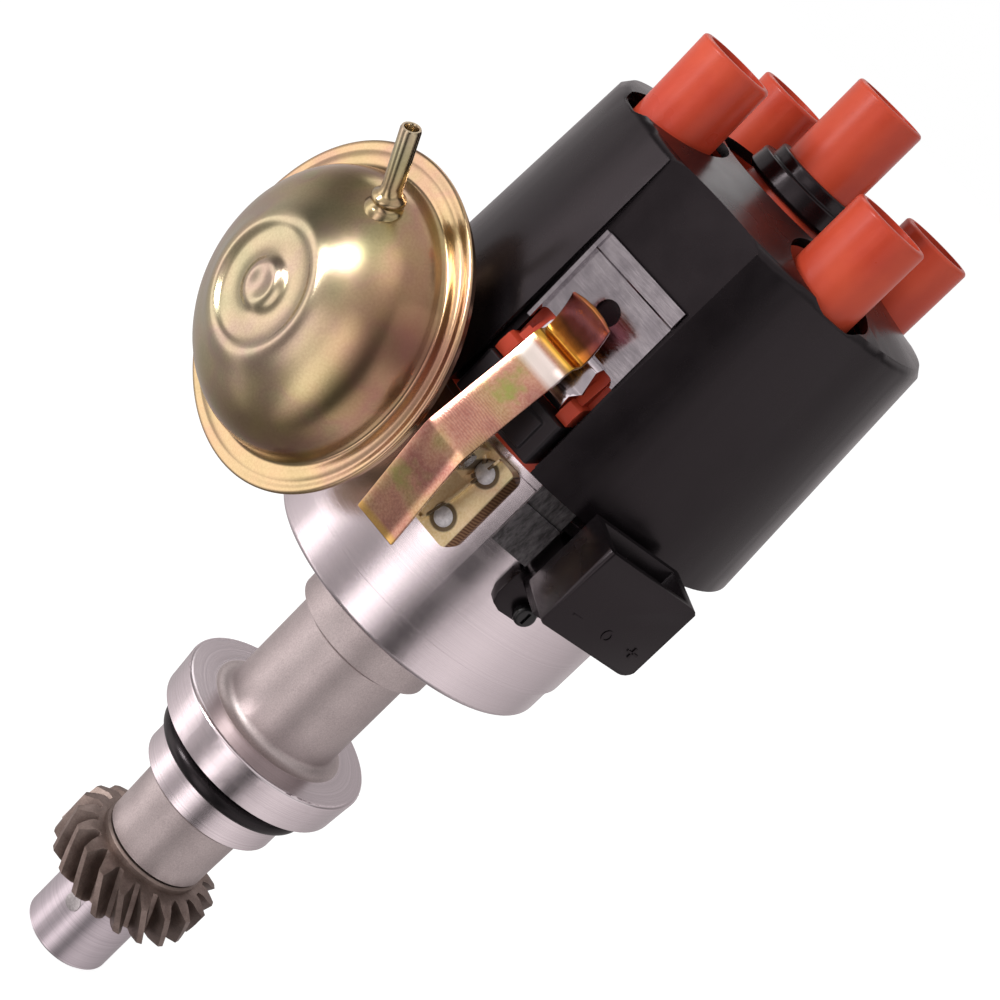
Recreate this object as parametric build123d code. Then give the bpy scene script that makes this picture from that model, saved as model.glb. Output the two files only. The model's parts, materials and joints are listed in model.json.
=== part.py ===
"""Ignition distributor with a helical drive gear, vacuum can, spring clips and a shrouded cap.

Millimetres. Z is the shaft's axis with the cap up, and the origin lies on it at the collar's seat.
The front clip faces -Y, and the four outer towers stand at 45 degrees to it.
"""
from build123d import *
import os
from math import cos, degrees, radians, sin, sqrt, tan

# Running and assembly clearances
RUN = 0.04
FIT = 0.3
TOUCH = 0.05

# Housing: stem, pilot, collar, neck and bowl, from the bottom up
STEM_END_Z = -33.4
STEM_END_R = 13.1
STEM_R = 13.6
BORE_R = 8.6
PILOT_R = 18.0
PILOT_LOW_Z = -14.4
ORING_Z = -4.4
ORING_TUBE_R = 2.2
ORING_GROOVE_W = 4.6
ORING_PROUD = 2.5
SEAT_STEP_R = 22.4
SEAT_STEP_H = 0.8
COLLAR_R = 25.0
COLLAR_TOP_Z = 10.0
FOOT_R = 17.2
NECK_R = 14.7
LIP_Z = 38.2
LIP_R = 17.3
BOWL_LOW_Z = 54.8
BOWL_LAND_H = 8.9
BOWL_LAND_R = 36.5
BOWL_R = 37.3
BOWL_WALL = 3.0
FLOOR_T = 5.2
LEDGE_W = 1.8
RIM_Z = 104.0
RIM_BAND_H = 1.9
RIM_GROOVE = 0.35
REBATE_W = 1.0

# Shaft, gear and advance mechanism
SHAFT_R = 6.2
SPINDLE_R = 5.0
BUSH_LEN = 20.0
WASHER_T = 0.6
WASHER_R = 10.8
HUB_R = 11.3
HUB_LOW_Z = -68.0
SHAFT_INSET = 1.4
SLOT_W = 3.2
SLOT_DEPTH = 6.0
TEETH = 19
GEAR_TIP_R = 19.8
GEAR_ROOT_R = 15.0
GEAR_LOW_Z = -47.8
GEAR_HIGH_Z = -35.9
GEAR_RING_R = 13.4
GEAR_FLANK_R = 17.9
TWIST_DEG_PER_MM = -1.74
TOOTH_PHASE_DEG = -89.2
TOOTH_PHASE_Z = -47.1
PIN_R = 2.2
PIN_Z = -54.0
PIN_AZIMUTH = -95.7
PLATE_LOW_Z = 64.4
CARRIER_R = 23.0
CARRIER_T = 2.0
WEIGHT_T = 4.0
WEIGHT_IN_R = 12.8
WEIGHT_OUT_R = 21.5
WEIGHT_PIVOT_R = 17.0
WEIGHT_PIN_R = 2.0
YOKE_R = 11.4
YOKE_T = 3.4
POST_R = 0.9
PLATE_POST = (9.7, -8.6)
YOKE_POST = (7.4, 6.9)
SLEEVE_R = 6.8

# Plates, pick-up and vane wheel inside the bowl
BASE_PLATE_Z = 84.0
BASE_PLATE_T = 2.0
PLATE_NECK_R = 12.5
PLATE_HOLE_R = 9.8
MOVING_PLATE_R = 28.0
MOVING_PLATE_T = 1.5
VANE_R = 18.5
VANE_T = 0.9
VANE_LOW_Z = 90.2
VANE_TOP_Z = 101.2
VANE_WINDOWS = 4
VANE_WINDOW_DEG = 42.0
PICKUP_AZIMUTH = -45.0

# Rotor arm, brush and cap
COVER_T = 1.4
ROTOR_HUB_R = 10.0
ROTOR_TOP_Z = 120.0
ROTOR_OVER_SLEEVE = 6.0
ROTOR_ARM_W = 13.0
ROTOR_TIP_R = 27.4
ELECTRODE_T = 1.2
BRUSH_R = 2.4
BRUSH_LEN = 12.0
BRUSH_SPRING_LEN = 9.0
CAP_SKIRT_R = 38.6
CAP_WALL = 3.6
CAP_SHOULDER_R = 37.0
CAP_TOP_Z = 156.0
CAVITY_TOP_Z = 143.0
TOWERS = 4
TOWER_PITCH_R = 30.9
TOWER_R = 8.45
TOWER_BORE_R = 6.9
TOWER_BORE_DEPTH = 17.0
TOWER_TOP_Z = 184.0
CENTRE_TOP_Z = 197.6
TERMINAL_R = 3.0
BOSS_TOP_Z = 171.0

# Black shroud over the cap, with the ring round the centre tower
SHROUD_LOW_Z = 106.2
SHROUD_SPREAD = 7.4
SHROUD_HIGH_Z = 165.6
SHROUD_TAPER = 4.1
SHROUD_TOP_Z = 170.8
SHROUD_EYE_R = 19.5
SHROUD_WALL = 2.0
SHROUD_EDGE = 1.4
SHROUD_TOWER_HOLE_R = 11.0
RECESS_W = 24.4
WINDOW_W = 21.6
WINDOW_HIGH_Z = 130.0
RING_LOW_Z = 171.0
RING_R = 12.9
RING_STEP_Z = 175.6
RING_UP_R = 10.3
RING_TOP_Z = 178.2

# Clip plate, clip, bracket and locating block, drawn for the front side
SHEET_T = 0.8
CLIP_PLATE_W = 21.8
CLIP_PLATE_LOW_Z = 127.6
CLIP_PLATE_HIGH_Z = 147.6
SHELF_Z = 143.7
SHELF_OUT = 0.7
SIDE_FOLD = 1.5
SIDE_FOLD_LOW_Z = 125.6
NOTCH_X = 8.7
NOTCH_R = 1.6
NOTCH_TOP_Z = 129.0
TONGUE_LEFT = 6.3
TONGUE_RIGHT = 7.3
TONGUE_FLARE = 1.4
TONGUE_FOLD_Z = 123.7
TONGUE_OUT = 4.0
PLATE_HOLE_Z = 136.8
PLATE_EYE_R = 2.6
LUG_IN_X = 7.5
LUG_RIB_W = 1.9
LUG_OUT = 4.2
LUG_STEP_Z = 121.5
CLIP_W = 10.3
CLIP_T = 0.8
CLIP_TAIL = (-52.1, 78.9)
CLIP_HEEL = (-56.8, 97.0)
CLIP_CREASE = (-57.6, 102.3)
CLIP_SHOULDER = (-55.4, 106.6)
CLIP_BEND_LOW = (-48.9, 123.8)
CLIP_BEND = (-48.5, 125.9)
CLIP_BEND_TOP = (-47.4, 126.9)
CLIP_VALLEY = (-45.2, 127.2)
CLIP_HOOK = (-46.1, 130.8)
CLIP_HOOK_TOP = (-47.3, 134.0)
CLIP_TIP = (-48.4, 136.8)
PIVOT_Y = -46.5
PIVOT_Z = 99.0
CLIP_PIN_R = 1.2
EYE_R = 2.9
KNUCKLE_W = 2.4
BRACKET_W = 20.6
BRACKET_LOW_Z = 81.2
BRACKET_HIGH_Z = 102.0
BRACKET_LIFT = 2.3
FOLD_X = 1.2
FOLD_DEPTH = 2.0
BRACKET_CORNER_R = 2.4
RIB_W = 0.5
PRESSING_W = 0.8
RIB_H = 1.5
RIB_LOW = (2.4, 81.9)
RIB_MIDDLE = (4.1, 89.4)
RIB_HIGH = (5.6, 102.2)
POCKET_DEPTH = 1.1
PRESSING_R = 4.1
PRESSING_Z = 97.2
EAR_T = 0.8
RIVET_R = 1.5
RIVET_HEAD_R = 1.95
RIVET_X = 4.9
RIVET_ROWS = (85.6, 97.8)
BLOCK_W = 21.0
BLOCK_LOW_Z = 106.6
BLOCK_HIGH_Z = 116.6
BLOCK_OUT = 6.4

# Vacuum can, along its own axis
CAN_AZIMUTH = 247.25
CAN_OFFSET = 22.0
CAN_Z = 94.5
FLANGE_S = 52.8
FLANGE_R = 37.0
FLANGE_T = 1.0
RIM_ROLL_R = 0.95
STEP_R = 33.6
STEP_H = 0.9
DOME_R = 30.6
NOSE_S = 72.0
NOSE_R = 13.1
NOSE_BOSS_R = 4.9
CUP_R = 12.0
CAN_SPRING_R = 9.0
CAN_WIRE_R = 0.7
CAN_SHEET = 1.0
BACK_R = 27.0
BACK_S = 46.4
ROD_R = 1.5
ROD_EYE_R = 3.0
DRIVE_PIN_R = 1.2
NIPPLE_S = 63.4
NIPPLE_SIDE = 2.2
NIPPLE_UP = 26.4
NIPPLE_LEAN_DEG = 29.0
NIPPLE_R = 2.1
NIPPLE_BORE_R = 1.3
NIPPLE_LEN = 18.2
ARM_W = 20.0
ARM_H = 22.0
ARM_T = 1.6
CAN_SCREW_X = 6.0
CAN_SCREW_R = 1.4

# Connector and grommet on the bowl
PLUG_AZIMUTH = -45.0
PLUG_FACE_S = 62.0
PLUG_BACK_S = 49.4
PLUG_W = 23.4
PLUG_LOW_Z = 91.4
PLUG_HIGH_Z = 110.6
PLUG_WALL = 1.6
PLUG_PINS = 3
PLUG_PIN_PITCH = 5.6
PIN_BELOW = 9.0
FOOT_LEFT = 5.6
FOOT_RIGHT = 8.5
LUG_LOW_Z = 78.8
LUG_HIGH_Z = 89.0
LUG_LEFT = 8.4
LUG_RIGHT = 2.4
LUG_T = 3.0
PLUG_CHAMFER = 1.6
LUG_SCREW_T = -1.2
LUG_SCREW_Z = 81.8
GROMMET_AZIMUTH = -62.6
GROMMET_W = 8.8
GROMMET_LOW_Z = 89.3
GROMMET_STEP_Z = 99.4
GROMMET_PROUD = 1.6

# Sizes worked out from the driving ones
BOWL_IN_R = BOWL_R - BOWL_WALL
SLEEVE_TOP_Z = ROTOR_TOP_Z - ROTOR_OVER_SLEEVE
LEDGE_R = BOWL_IN_R - LEDGE_W
BRACKET_Y = BOWL_R + BRACKET_LIFT
BLOCK_Y = CAP_SKIRT_R + BLOCK_OUT
REBATE_R = BOWL_IN_R + REBATE_W
FLOOR_Z = BOWL_LOW_Z + FLOOR_T
BOWL_LAND_Z = BOWL_LOW_Z + BOWL_LAND_H
COVER_Z = RIM_Z - COVER_T
GEAR_TOP_Z = STEM_END_Z - WASHER_T - 2 * TOUCH
WEIGHT_Z = PLATE_LOW_Z + CARRIER_T + FIT
MOVING_PLATE_Z = BASE_PLATE_Z + BASE_PLATE_T + FIT
PICKUP_Z = MOVING_PLATE_Z + MOVING_PLATE_T
BRUSH_Z = ROTOR_TOP_Z + ELECTRODE_T + 0.1
BRUSH_TOP_Z = BRUSH_Z + BRUSH_LEN
CENTRE_SEAT_Z = BRUSH_TOP_Z + BRUSH_SPRING_LEN
CAVITY_R = CAP_SKIRT_R - CAP_WALL
SHROUD_LOW_R = CAP_SKIRT_R + SHROUD_SPREAD
SHROUD_HIGH_R = SHROUD_LOW_R - SHROUD_TAPER
RECESS_Y = CAP_SKIRT_R + 1.0
TOWER_FLOOR_Z = TOWER_TOP_Z - TOWER_BORE_DEPTH
CENTRE_FLOOR_Z = CENTRE_TOP_Z - TOWER_BORE_DEPTH
TERMINAL_LOW_Z = ROTOR_TOP_Z - 4.0


def lathe(*points):
    """Solid of revolution about Z from a closed outline of (radius, height) points."""
    outline = make_face(Plane.XZ * Polyline(*points, close=True))
    return revolve(outline, axis=Axis.Z)


def rod(radius, low, high):
    return Pos(0, 0, low) * Cylinder(radius, high - low, align=(Align.CENTER, Align.CENTER, Align.MIN))


def tube(outer, inner, low, high):
    return rod(outer, low, high) - rod(inner, low - 1, high + 1)


def block(x0, x1, y0, y1, z0, z1):
    corner = (Align.MIN, Align.MIN, Align.MIN)
    return Pos(x0, y0, z0) * Box(x1 - x0, y1 - y0, z1 - z0, align=corner)


def sector(outer, inner, low, high, start, end):
    """Part of a ring between two azimuths less than 180 degrees apart."""
    reach = 2 * outer
    middle = radians((start + end) / 2)
    half = radians((end - start) / 2)
    spread = reach * tan(half)
    wedge = make_face(Polyline((0, 0), (reach, -spread), (reach, spread), close=True))
    wedge = extrude(Pos(0, 0, low) * Rot(0, 0, degrees(middle)) * wedge, high - low)
    return tube(outer, inner, low, high) & wedge


def rings(part, radius, height):
    """Circular edges of a part at one radius and height."""
    return [
        edge
        for edge in part.edges().filter_by(GeomType.CIRCLE)
        if abs(edge.radius - radius) < 0.02 and abs(edge.arc_center.Z - height) < 0.02
    ]


def along(azimuth, offset=0.0, height=0.0):
    """Frame whose z points outwards at an azimuth, x runs anticlockwise and y runs up."""
    angle = radians(azimuth)
    side = Vector(-sin(angle), cos(angle), 0)
    origin = side * offset + Vector(0, 0, height)
    return Plane(origin=origin, x_dir=side, z_dir=Vector(cos(angle), sin(angle), 0)).location


def facing(side):
    """Turns a piece drawn at the front to the front (0) or the rear (1)."""
    return Rot(0, 0, 180 * side)


def chord(radius, half_width):
    return sqrt(radius**2 - half_width**2)


CAN = along(CAN_AZIMUTH, -CAN_OFFSET, CAN_Z)
PLUG = along(PLUG_AZIMUTH)
SIDES = ("front", "rear")


def housing():
    groove_r = PILOT_R + ORING_PROUD - 2 * ORING_TUBE_R
    groove_low = ORING_Z - ORING_GROOVE_W / 2
    groove_high = ORING_Z + ORING_GROOVE_W / 2
    body = lathe(
        (BORE_R, STEM_END_Z),
        (STEM_END_R, STEM_END_Z),
        (STEM_R, PILOT_LOW_Z),
        (PILOT_R - 0.6, PILOT_LOW_Z),
        (PILOT_R, PILOT_LOW_Z + 0.6),
        (PILOT_R, groove_low),
        (groove_r, groove_low),
        (groove_r, groove_high),
        (PILOT_R, groove_high),
        (PILOT_R, 0),
        (SEAT_STEP_R, 0),
        (SEAT_STEP_R, SEAT_STEP_H),
        (COLLAR_R - 0.7, SEAT_STEP_H),
        (COLLAR_R, COLLAR_TOP_Z),
        (NECK_R, COLLAR_TOP_Z),
        (NECK_R, LIP_Z),
        (LIP_R, LIP_Z + 1.6),
        (LIP_R, BOWL_LOW_Z),
        (BOWL_LAND_R, BOWL_LOW_Z),
        (BOWL_LAND_R, BOWL_LAND_Z - 0.4),
        (BOWL_R, BOWL_LAND_Z),
        (BOWL_R, RIM_Z - RIM_BAND_H - RIM_GROOVE),
        (BOWL_R - RIM_GROOVE, RIM_Z - RIM_BAND_H - RIM_GROOVE),
        (BOWL_R - RIM_GROOVE, RIM_Z - RIM_BAND_H),
        (BOWL_R + 0.15, RIM_Z - RIM_BAND_H),
        (BOWL_R + 0.15, RIM_Z),
        (REBATE_R, RIM_Z),
        (REBATE_R, COVER_Z),
        (BOWL_IN_R, COVER_Z),
        (BOWL_IN_R, BASE_PLATE_Z),
        (LEDGE_R, BASE_PLATE_Z),
        (LEDGE_R, FLOOR_Z),
        (BORE_R, FLOOR_Z),
    )
    body = fillet(rings(body, NECK_R, COLLAR_TOP_Z), FOOT_R - NECK_R)
    body = fillet(rings(body, COLLAR_R, COLLAR_TOP_Z), 0.9)
    body = fillet(rings(body, BOWL_LAND_R, BOWL_LOW_Z), 1.6)
    body = fillet(rings(body, LIP_R, BOWL_LOW_Z), 2.0)
    rod_hole = CAN * rod(ROD_R + 2.5, 0, BOWL_R + 4)
    slot = along(GROMMET_AZIMUTH) * block(
        -GROMMET_W / 2, GROMMET_W / 2, GROMMET_LOW_Z + 2, RIM_Z + 1, LEDGE_R, BOWL_R + 4
    )
    plug_window = PLUG * block(-6.0, 6.0, PLUG_LOW_Z + 1, PLUG_LOW_Z + 8, LEDGE_R, BOWL_R + 4)
    return body - rod_hole - slot - plug_window


def o_ring():
    centre_r = PILOT_R + ORING_PROUD - ORING_TUBE_R
    return Pos(0, 0, ORING_Z) * Torus(centre_r, ORING_TUBE_R)


def bush(low, high):
    return tube(BORE_R, SHAFT_R + RUN, low, high)


def drive_shaft():
    """Shaft with the oil pump's slot in its lower end, which stands back inside the hub."""
    low = HUB_LOW_Z + SHAFT_INSET
    body = rod(SHAFT_R, low, WEIGHT_Z - FIT)
    body += rod(SPINDLE_R, WEIGHT_Z - FIT, SLEEVE_TOP_Z - 1)
    body -= block(-SLOT_W / 2, SLOT_W / 2, -SHAFT_R - 1, SHAFT_R + 1, low - 1, low + SLOT_DEPTH)
    return body - cross_pin()


def cross_pin():
    """Pin driven through hub and shaft, its ends flush with the hub."""
    length = 2 * HUB_R - 0.3
    return Pos(0, 0, PIN_Z) * Rot(0, 0, PIN_AZIMUTH) * Rot(0, 90, 0) * Cylinder(PIN_R, length)


def tooth_outline(turn):
    """Closed outline of the whole toothed section, turned by an angle in degrees."""
    pitch = 360 / TEETH
    flank = ((-0.37, GEAR_ROOT_R), (-0.24, GEAR_FLANK_R), (-0.12, GEAR_TIP_R))
    shares = flank + tuple((-share, radius) for share, radius in reversed(flank))
    points = []
    for tooth in range(TEETH):
        for share, radius in shares:
            angle = radians(turn + (tooth + share) * pitch)
            points.append((radius * cos(angle), radius * sin(angle)))
    return make_face(Polyline(*points, close=True))


def drive_gear():
    bevel = GEAR_TIP_R - GEAR_ROOT_R - 1.4
    height = GEAR_HIGH_Z - GEAR_LOW_Z
    turn = TOOTH_PHASE_DEG + TWIST_DEG_PER_MM * (GEAR_LOW_Z - TOOTH_PHASE_Z)
    section = Pos(0, 0, GEAR_LOW_Z) * tooth_outline(turn)
    teeth = Solid.extrude_linear_with_rotation(
        section.faces()[0], (0, 0, GEAR_LOW_Z), (0, 0, height), TWIST_DEG_PER_MM * height
    )
    blank = lathe(
        (0, GEAR_LOW_Z),
        (GEAR_TIP_R - bevel, GEAR_LOW_Z),
        (GEAR_TIP_R, GEAR_LOW_Z + bevel / 3),
        (GEAR_TIP_R, GEAR_HIGH_Z - bevel / 2),
        (GEAR_TIP_R - bevel, GEAR_HIGH_Z),
        (0, GEAR_HIGH_Z),
    )
    body = lathe(
        (0, HUB_LOW_Z),
        (HUB_R - 0.8, HUB_LOW_Z),
        (HUB_R, HUB_LOW_Z + 0.8),
        (HUB_R, GEAR_LOW_Z + 1),
        (GEAR_RING_R, GEAR_LOW_Z + 1),
        (GEAR_RING_R, GEAR_TOP_Z - 0.5),
        (GEAR_RING_R - 0.5, GEAR_TOP_Z),
        (0, GEAR_TOP_Z),
    )
    body += (teeth & blank).solids()[0]
    body -= rod(SHAFT_R, HUB_LOW_Z - 1, GEAR_TOP_Z + 1)
    return body - cross_pin()


def thrust_washer(low):
    return tube(WASHER_R, SHAFT_R + 0.2, low, low + WASHER_T)


def weight_plate():
    body = tube(CARRIER_R, SHAFT_R, PLATE_LOW_Z, PLATE_LOW_Z + CARRIER_T)
    for turn in (0, 180):
        body -= Rot(0, 0, turn) * Pos(WEIGHT_PIVOT_R, 0, 0) * rod(WEIGHT_PIN_R, PLATE_LOW_Z - 1, WEIGHT_Z)
    return body


def weight_pins():
    """Pivots of the weights and posts of the springs, all fixed in the plate."""
    top = WEIGHT_Z + WEIGHT_T
    pivot = Pos(WEIGHT_PIVOT_R, 0, 0) * rod(WEIGHT_PIN_R, PLATE_LOW_Z, top + 1.2)
    post = Pos(*PLATE_POST, 0) * rod(POST_R, PLATE_LOW_Z + CARRIER_T, top + 4.0)
    return [Rot(0, 0, turn) * piece for turn in (0, 180) for piece in (pivot, post)]


def flyweight(turn):
    """Crescent-shaped weight that swings out about its pin."""
    low = WEIGHT_Z
    body = sector(WEIGHT_OUT_R, WEIGHT_IN_R, low, low + WEIGHT_T, -12, 120)
    body += Pos(WEIGHT_PIVOT_R, 0, 0) * rod(WEIGHT_PIN_R + 2, low, low + WEIGHT_T)
    body -= Pos(WEIGHT_PIVOT_R, 0, 0) * rod(WEIGHT_PIN_R + RUN, low - 1, low + WEIGHT_T + 1)
    return Rot(0, 0, turn) * body


def spring(radius, wire_r, length, turns):
    """Open coil spring from z 0 to its length."""
    rise = length - 2 * wire_r
    path = Pos(0, 0, wire_r) * Helix(pitch=rise / turns, height=rise, radius=radius)
    section = Plane(origin=path @ 0, z_dir=path % 0) * RegularPolygon(wire_r, 6)
    return sweep(section, path=path, is_frenet=True)


def advance_spring(turn):
    """Return spring from a post on the plate to a post on the sleeve's yoke."""
    start = Vector(*PLATE_POST, WEIGHT_Z + WEIGHT_T + 2.0)
    end = Vector(*YOKE_POST, WEIGHT_Z + WEIGHT_T + 2.0)
    way = (end - start).normalized()
    length = (end - start).length - 2 * POST_R - 0.2
    place = Plane(origin=start + way * (POST_R + 0.1), z_dir=way).location
    return Rot(0, 0, turn) * place * spring(1.0, 0.3, length, 9)


def cam_sleeve():
    low = WEIGHT_Z
    body = tube(SLEEVE_R, SPINDLE_R + RUN, low, SLEEVE_TOP_Z)
    yoke = rod(YOKE_R, low, low + YOKE_T) & block(-YOKE_R, YOKE_R, -8.2, 8.2, low, low + YOKE_T)
    body += yoke - rod(SPINDLE_R + 1, low - 1, low + YOKE_T + 1)
    for turn in (0, 180):
        body += Rot(0, 0, turn) * Pos(*YOKE_POST, 0) * rod(POST_R, low + YOKE_T - 1, WEIGHT_Z + WEIGHT_T + 4.0)
    keyway = block(SLEEVE_R - 1.2, SLEEVE_R + 1, -1.5, 1.5, RIM_Z + 3, SLEEVE_TOP_Z + 1)
    return body - keyway


def base_plate():
    low = BASE_PLATE_Z
    body = tube(BOWL_IN_R - TOUCH, PLATE_HOLE_R, low, low + BASE_PLATE_T)
    body += tube(PLATE_NECK_R, PLATE_HOLE_R, low, PICKUP_Z + 0.8)
    return body


def moving_plate():
    low = MOVING_PLATE_Z
    body = tube(MOVING_PLATE_R, PLATE_NECK_R + RUN, low, low + MOVING_PLATE_T)
    pin = CAN * Pos(0, low - CAN_Z, 0) * Rot(-90, 0, 0) * rod(DRIVE_PIN_R, 0, CAN_Z + 1.6 - low)
    return body + pin


def hall_pickup():
    """Pick-up block with a slot that the vanes pass through."""
    low = PICKUP_Z
    high = VANE_TOP_Z - VANE_T - 1.4
    body = sector(VANE_R + 5.5, PLATE_NECK_R + 0.8, low, high, -22, 22)
    gap_in = VANE_R - VANE_T - 1.0
    body -= tube(VANE_R + 1.0, gap_in, VANE_LOW_Z - 1.0, high + 1)
    return Rot(0, 0, PICKUP_AZIMUTH) * body


def vane_wheel():
    top = VANE_TOP_Z
    body = tube(VANE_R, SLEEVE_R, top - VANE_T, top)
    body += tube(SLEEVE_R + 2, SLEEVE_R, top - 6, top)
    span = 360 / VANE_WINDOWS
    for n in range(VANE_WINDOWS):
        start = n * span + VANE_WINDOW_DEG / 2
        body += sector(VANE_R, VANE_R - VANE_T, VANE_LOW_Z, top, start, start + span - VANE_WINDOW_DEG)
    return body


def dust_cover():
    body = tube(REBATE_R - TOUCH, SLEEVE_R + 1.2, COVER_Z, RIM_Z)
    return body - along(GROMMET_AZIMUTH) * block(
        -GROMMET_W / 2 - FIT, GROMMET_W / 2 + FIT, COVER_Z - 1, RIM_Z + 1, LEDGE_R - 1, BOWL_R
    )


def rotor_arm():
    low = RIM_Z + 0.6
    body = rod(ROTOR_HUB_R, low, ROTOR_TOP_Z)
    arm = block(0, ROTOR_TIP_R - 3, -ROTOR_ARM_W / 2, ROTOR_ARM_W / 2, ROTOR_TOP_Z - 7, ROTOR_TOP_Z)
    tail = block(-ROTOR_HUB_R - 5, 0, -ROTOR_ARM_W / 2, ROTOR_ARM_W / 2, ROTOR_TOP_Z - 4, ROTOR_TOP_Z)
    body += arm + tail
    body -= rod(SLEEVE_R, low - 1, SLEEVE_TOP_Z)
    key = block(SLEEVE_R - 1.1, SLEEVE_R + 0.2, -1.4, 1.4, RIM_Z + 3.2, SLEEVE_TOP_Z)
    return body + key


def rotor_electrode():
    low = ROTOR_TOP_Z
    strip = block(-3.4, ROTOR_TIP_R, -2.6, 2.6, low, low + ELECTRODE_T)
    tip = sector(ROTOR_TIP_R, ROTOR_TIP_R - 2.5, low - 2, low + ELECTRODE_T, -9, 9)
    return strip + tip - block(0, ROTOR_TIP_R - 3, -9, 9, low - 3, low)


def carbon_brush():
    return rod(BRUSH_R, BRUSH_Z, BRUSH_TOP_Z)


def brush_spring():
    return Pos(0, 0, BRUSH_TOP_Z) * spring(BRUSH_R - 0.8, 0.3, BRUSH_SPRING_LEN, 6)


def tower_places():
    step = 360 / TOWERS
    return [Rot(0, 0, step * (n + 0.5)) * Pos(TOWER_PITCH_R, 0, 0) for n in range(TOWERS)]


def clip_lug():
    """Pad on the cap's side that stands in the shroud's window, with a stepped lug at each end."""
    half = WINDOW_W / 2 - FIT
    low = BLOCK_HIGH_Z + FIT
    high = WINDOW_HIGH_Z - FIT
    face = -RECESS_Y + FIT
    pad = block(-half, half, face, -CAVITY_R - 1, low, high)
    lug = Plane.YZ * Polyline(
        (face + 1, low),
        (face - LUG_OUT + 0.4, low),
        (face - LUG_OUT, low + 1.6),
        (face - LUG_OUT + 0.5, LUG_STEP_Z - 0.6),
        (face - LUG_OUT + 1.3, LUG_STEP_Z),
        (face + 1, LUG_STEP_Z),
        close=True,
    )
    rib = Plane.YZ * Polyline(
        (face + 1, LUG_STEP_Z - 1),
        (face - LUG_OUT / 2, LUG_STEP_Z - 1),
        (face, CLIP_PLATE_LOW_Z - FIT),
        (face + 1, CLIP_PLATE_LOW_Z - FIT),
        close=True,
    )
    for start in (-half, LUG_IN_X):
        pad += Pos(start, 0, 0) * extrude(make_face(lug), half - LUG_IN_X, dir=(1, 0, 0))
    for start in (-LUG_IN_X - LUG_RIB_W, LUG_IN_X):
        pad += Pos(start, 0, 0) * extrude(make_face(rib), LUG_RIB_W, dir=(1, 0, 0))
    for start in (-half - 1, LUG_IN_X + LUG_RIB_W):
        pad -= block(start, start + 3, face - 1, face + 0.8, LUG_STEP_Z, high + 1)
    return pad


def tower(low, top):
    body = rod(TOWER_R, low, top)
    return fillet(rings(body, TOWER_R, top), 0.8)


def distributor_cap():
    body = lathe(
        (CAVITY_R, RIM_Z),
        (CAP_SKIRT_R, RIM_Z),
        (CAP_SKIRT_R, RIM_Z + 3),
        (CAP_SHOULDER_R, CAP_TOP_Z - 3),
        (CAP_SHOULDER_R - 3, CAP_TOP_Z),
        (16.0, CAP_TOP_Z),
        (11.2, BOSS_TOP_Z),
        (0, BOSS_TOP_Z),
        (0, CAVITY_TOP_Z),
        (CAVITY_R - 1, CAVITY_TOP_Z),
        (CAVITY_R, CAVITY_TOP_Z - 3),
    )
    for side in range(len(SIDES)):
        body += facing(side) * clip_lug()
    body += tower(BOSS_TOP_Z - 1, CENTRE_TOP_Z)
    body += rod(BRUSH_R + 2.4, BRUSH_Z + 3, CAVITY_TOP_Z + 1)
    for place in tower_places():
        body += place * rod(TERMINAL_R + 2.0, TERMINAL_LOW_Z + 6, CAVITY_TOP_Z + 1)
    for place in tower_places():
        body += place * tower(CAP_TOP_Z - 1, TOWER_TOP_Z)
    for place in tower_places():
        body -= place * rod(TERMINAL_R, TERMINAL_LOW_Z, TOWER_TOP_Z)
        body -= place * rod(TOWER_BORE_R, TOWER_FLOOR_Z, TOWER_TOP_Z + 1)
    body -= rod(TERMINAL_R, CENTRE_SEAT_Z, CENTRE_TOP_Z)
    body -= rod(BRUSH_R + RUN, BRUSH_Z, CENTRE_SEAT_Z + 1)
    body -= rod(TOWER_BORE_R, CENTRE_FLOOR_Z, CENTRE_TOP_Z + 1)
    return body


def cap_terminals():
    """Brass inserts, one under each outer tower, with a socket for the lead's plug."""
    pin = rod(TERMINAL_R, TERMINAL_LOW_Z, TOWER_FLOOR_Z)
    pin -= rod(1.9, TOWER_FLOOR_Z - 10, TOWER_FLOOR_Z + 1)
    return [place * pin for place in tower_places()]


def centre_terminal():
    pin = rod(TERMINAL_R, CENTRE_SEAT_Z, CENTRE_FLOOR_Z)
    return pin - rod(1.9, CENTRE_FLOOR_Z - 10, CENTRE_FLOOR_Z + 1)


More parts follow.
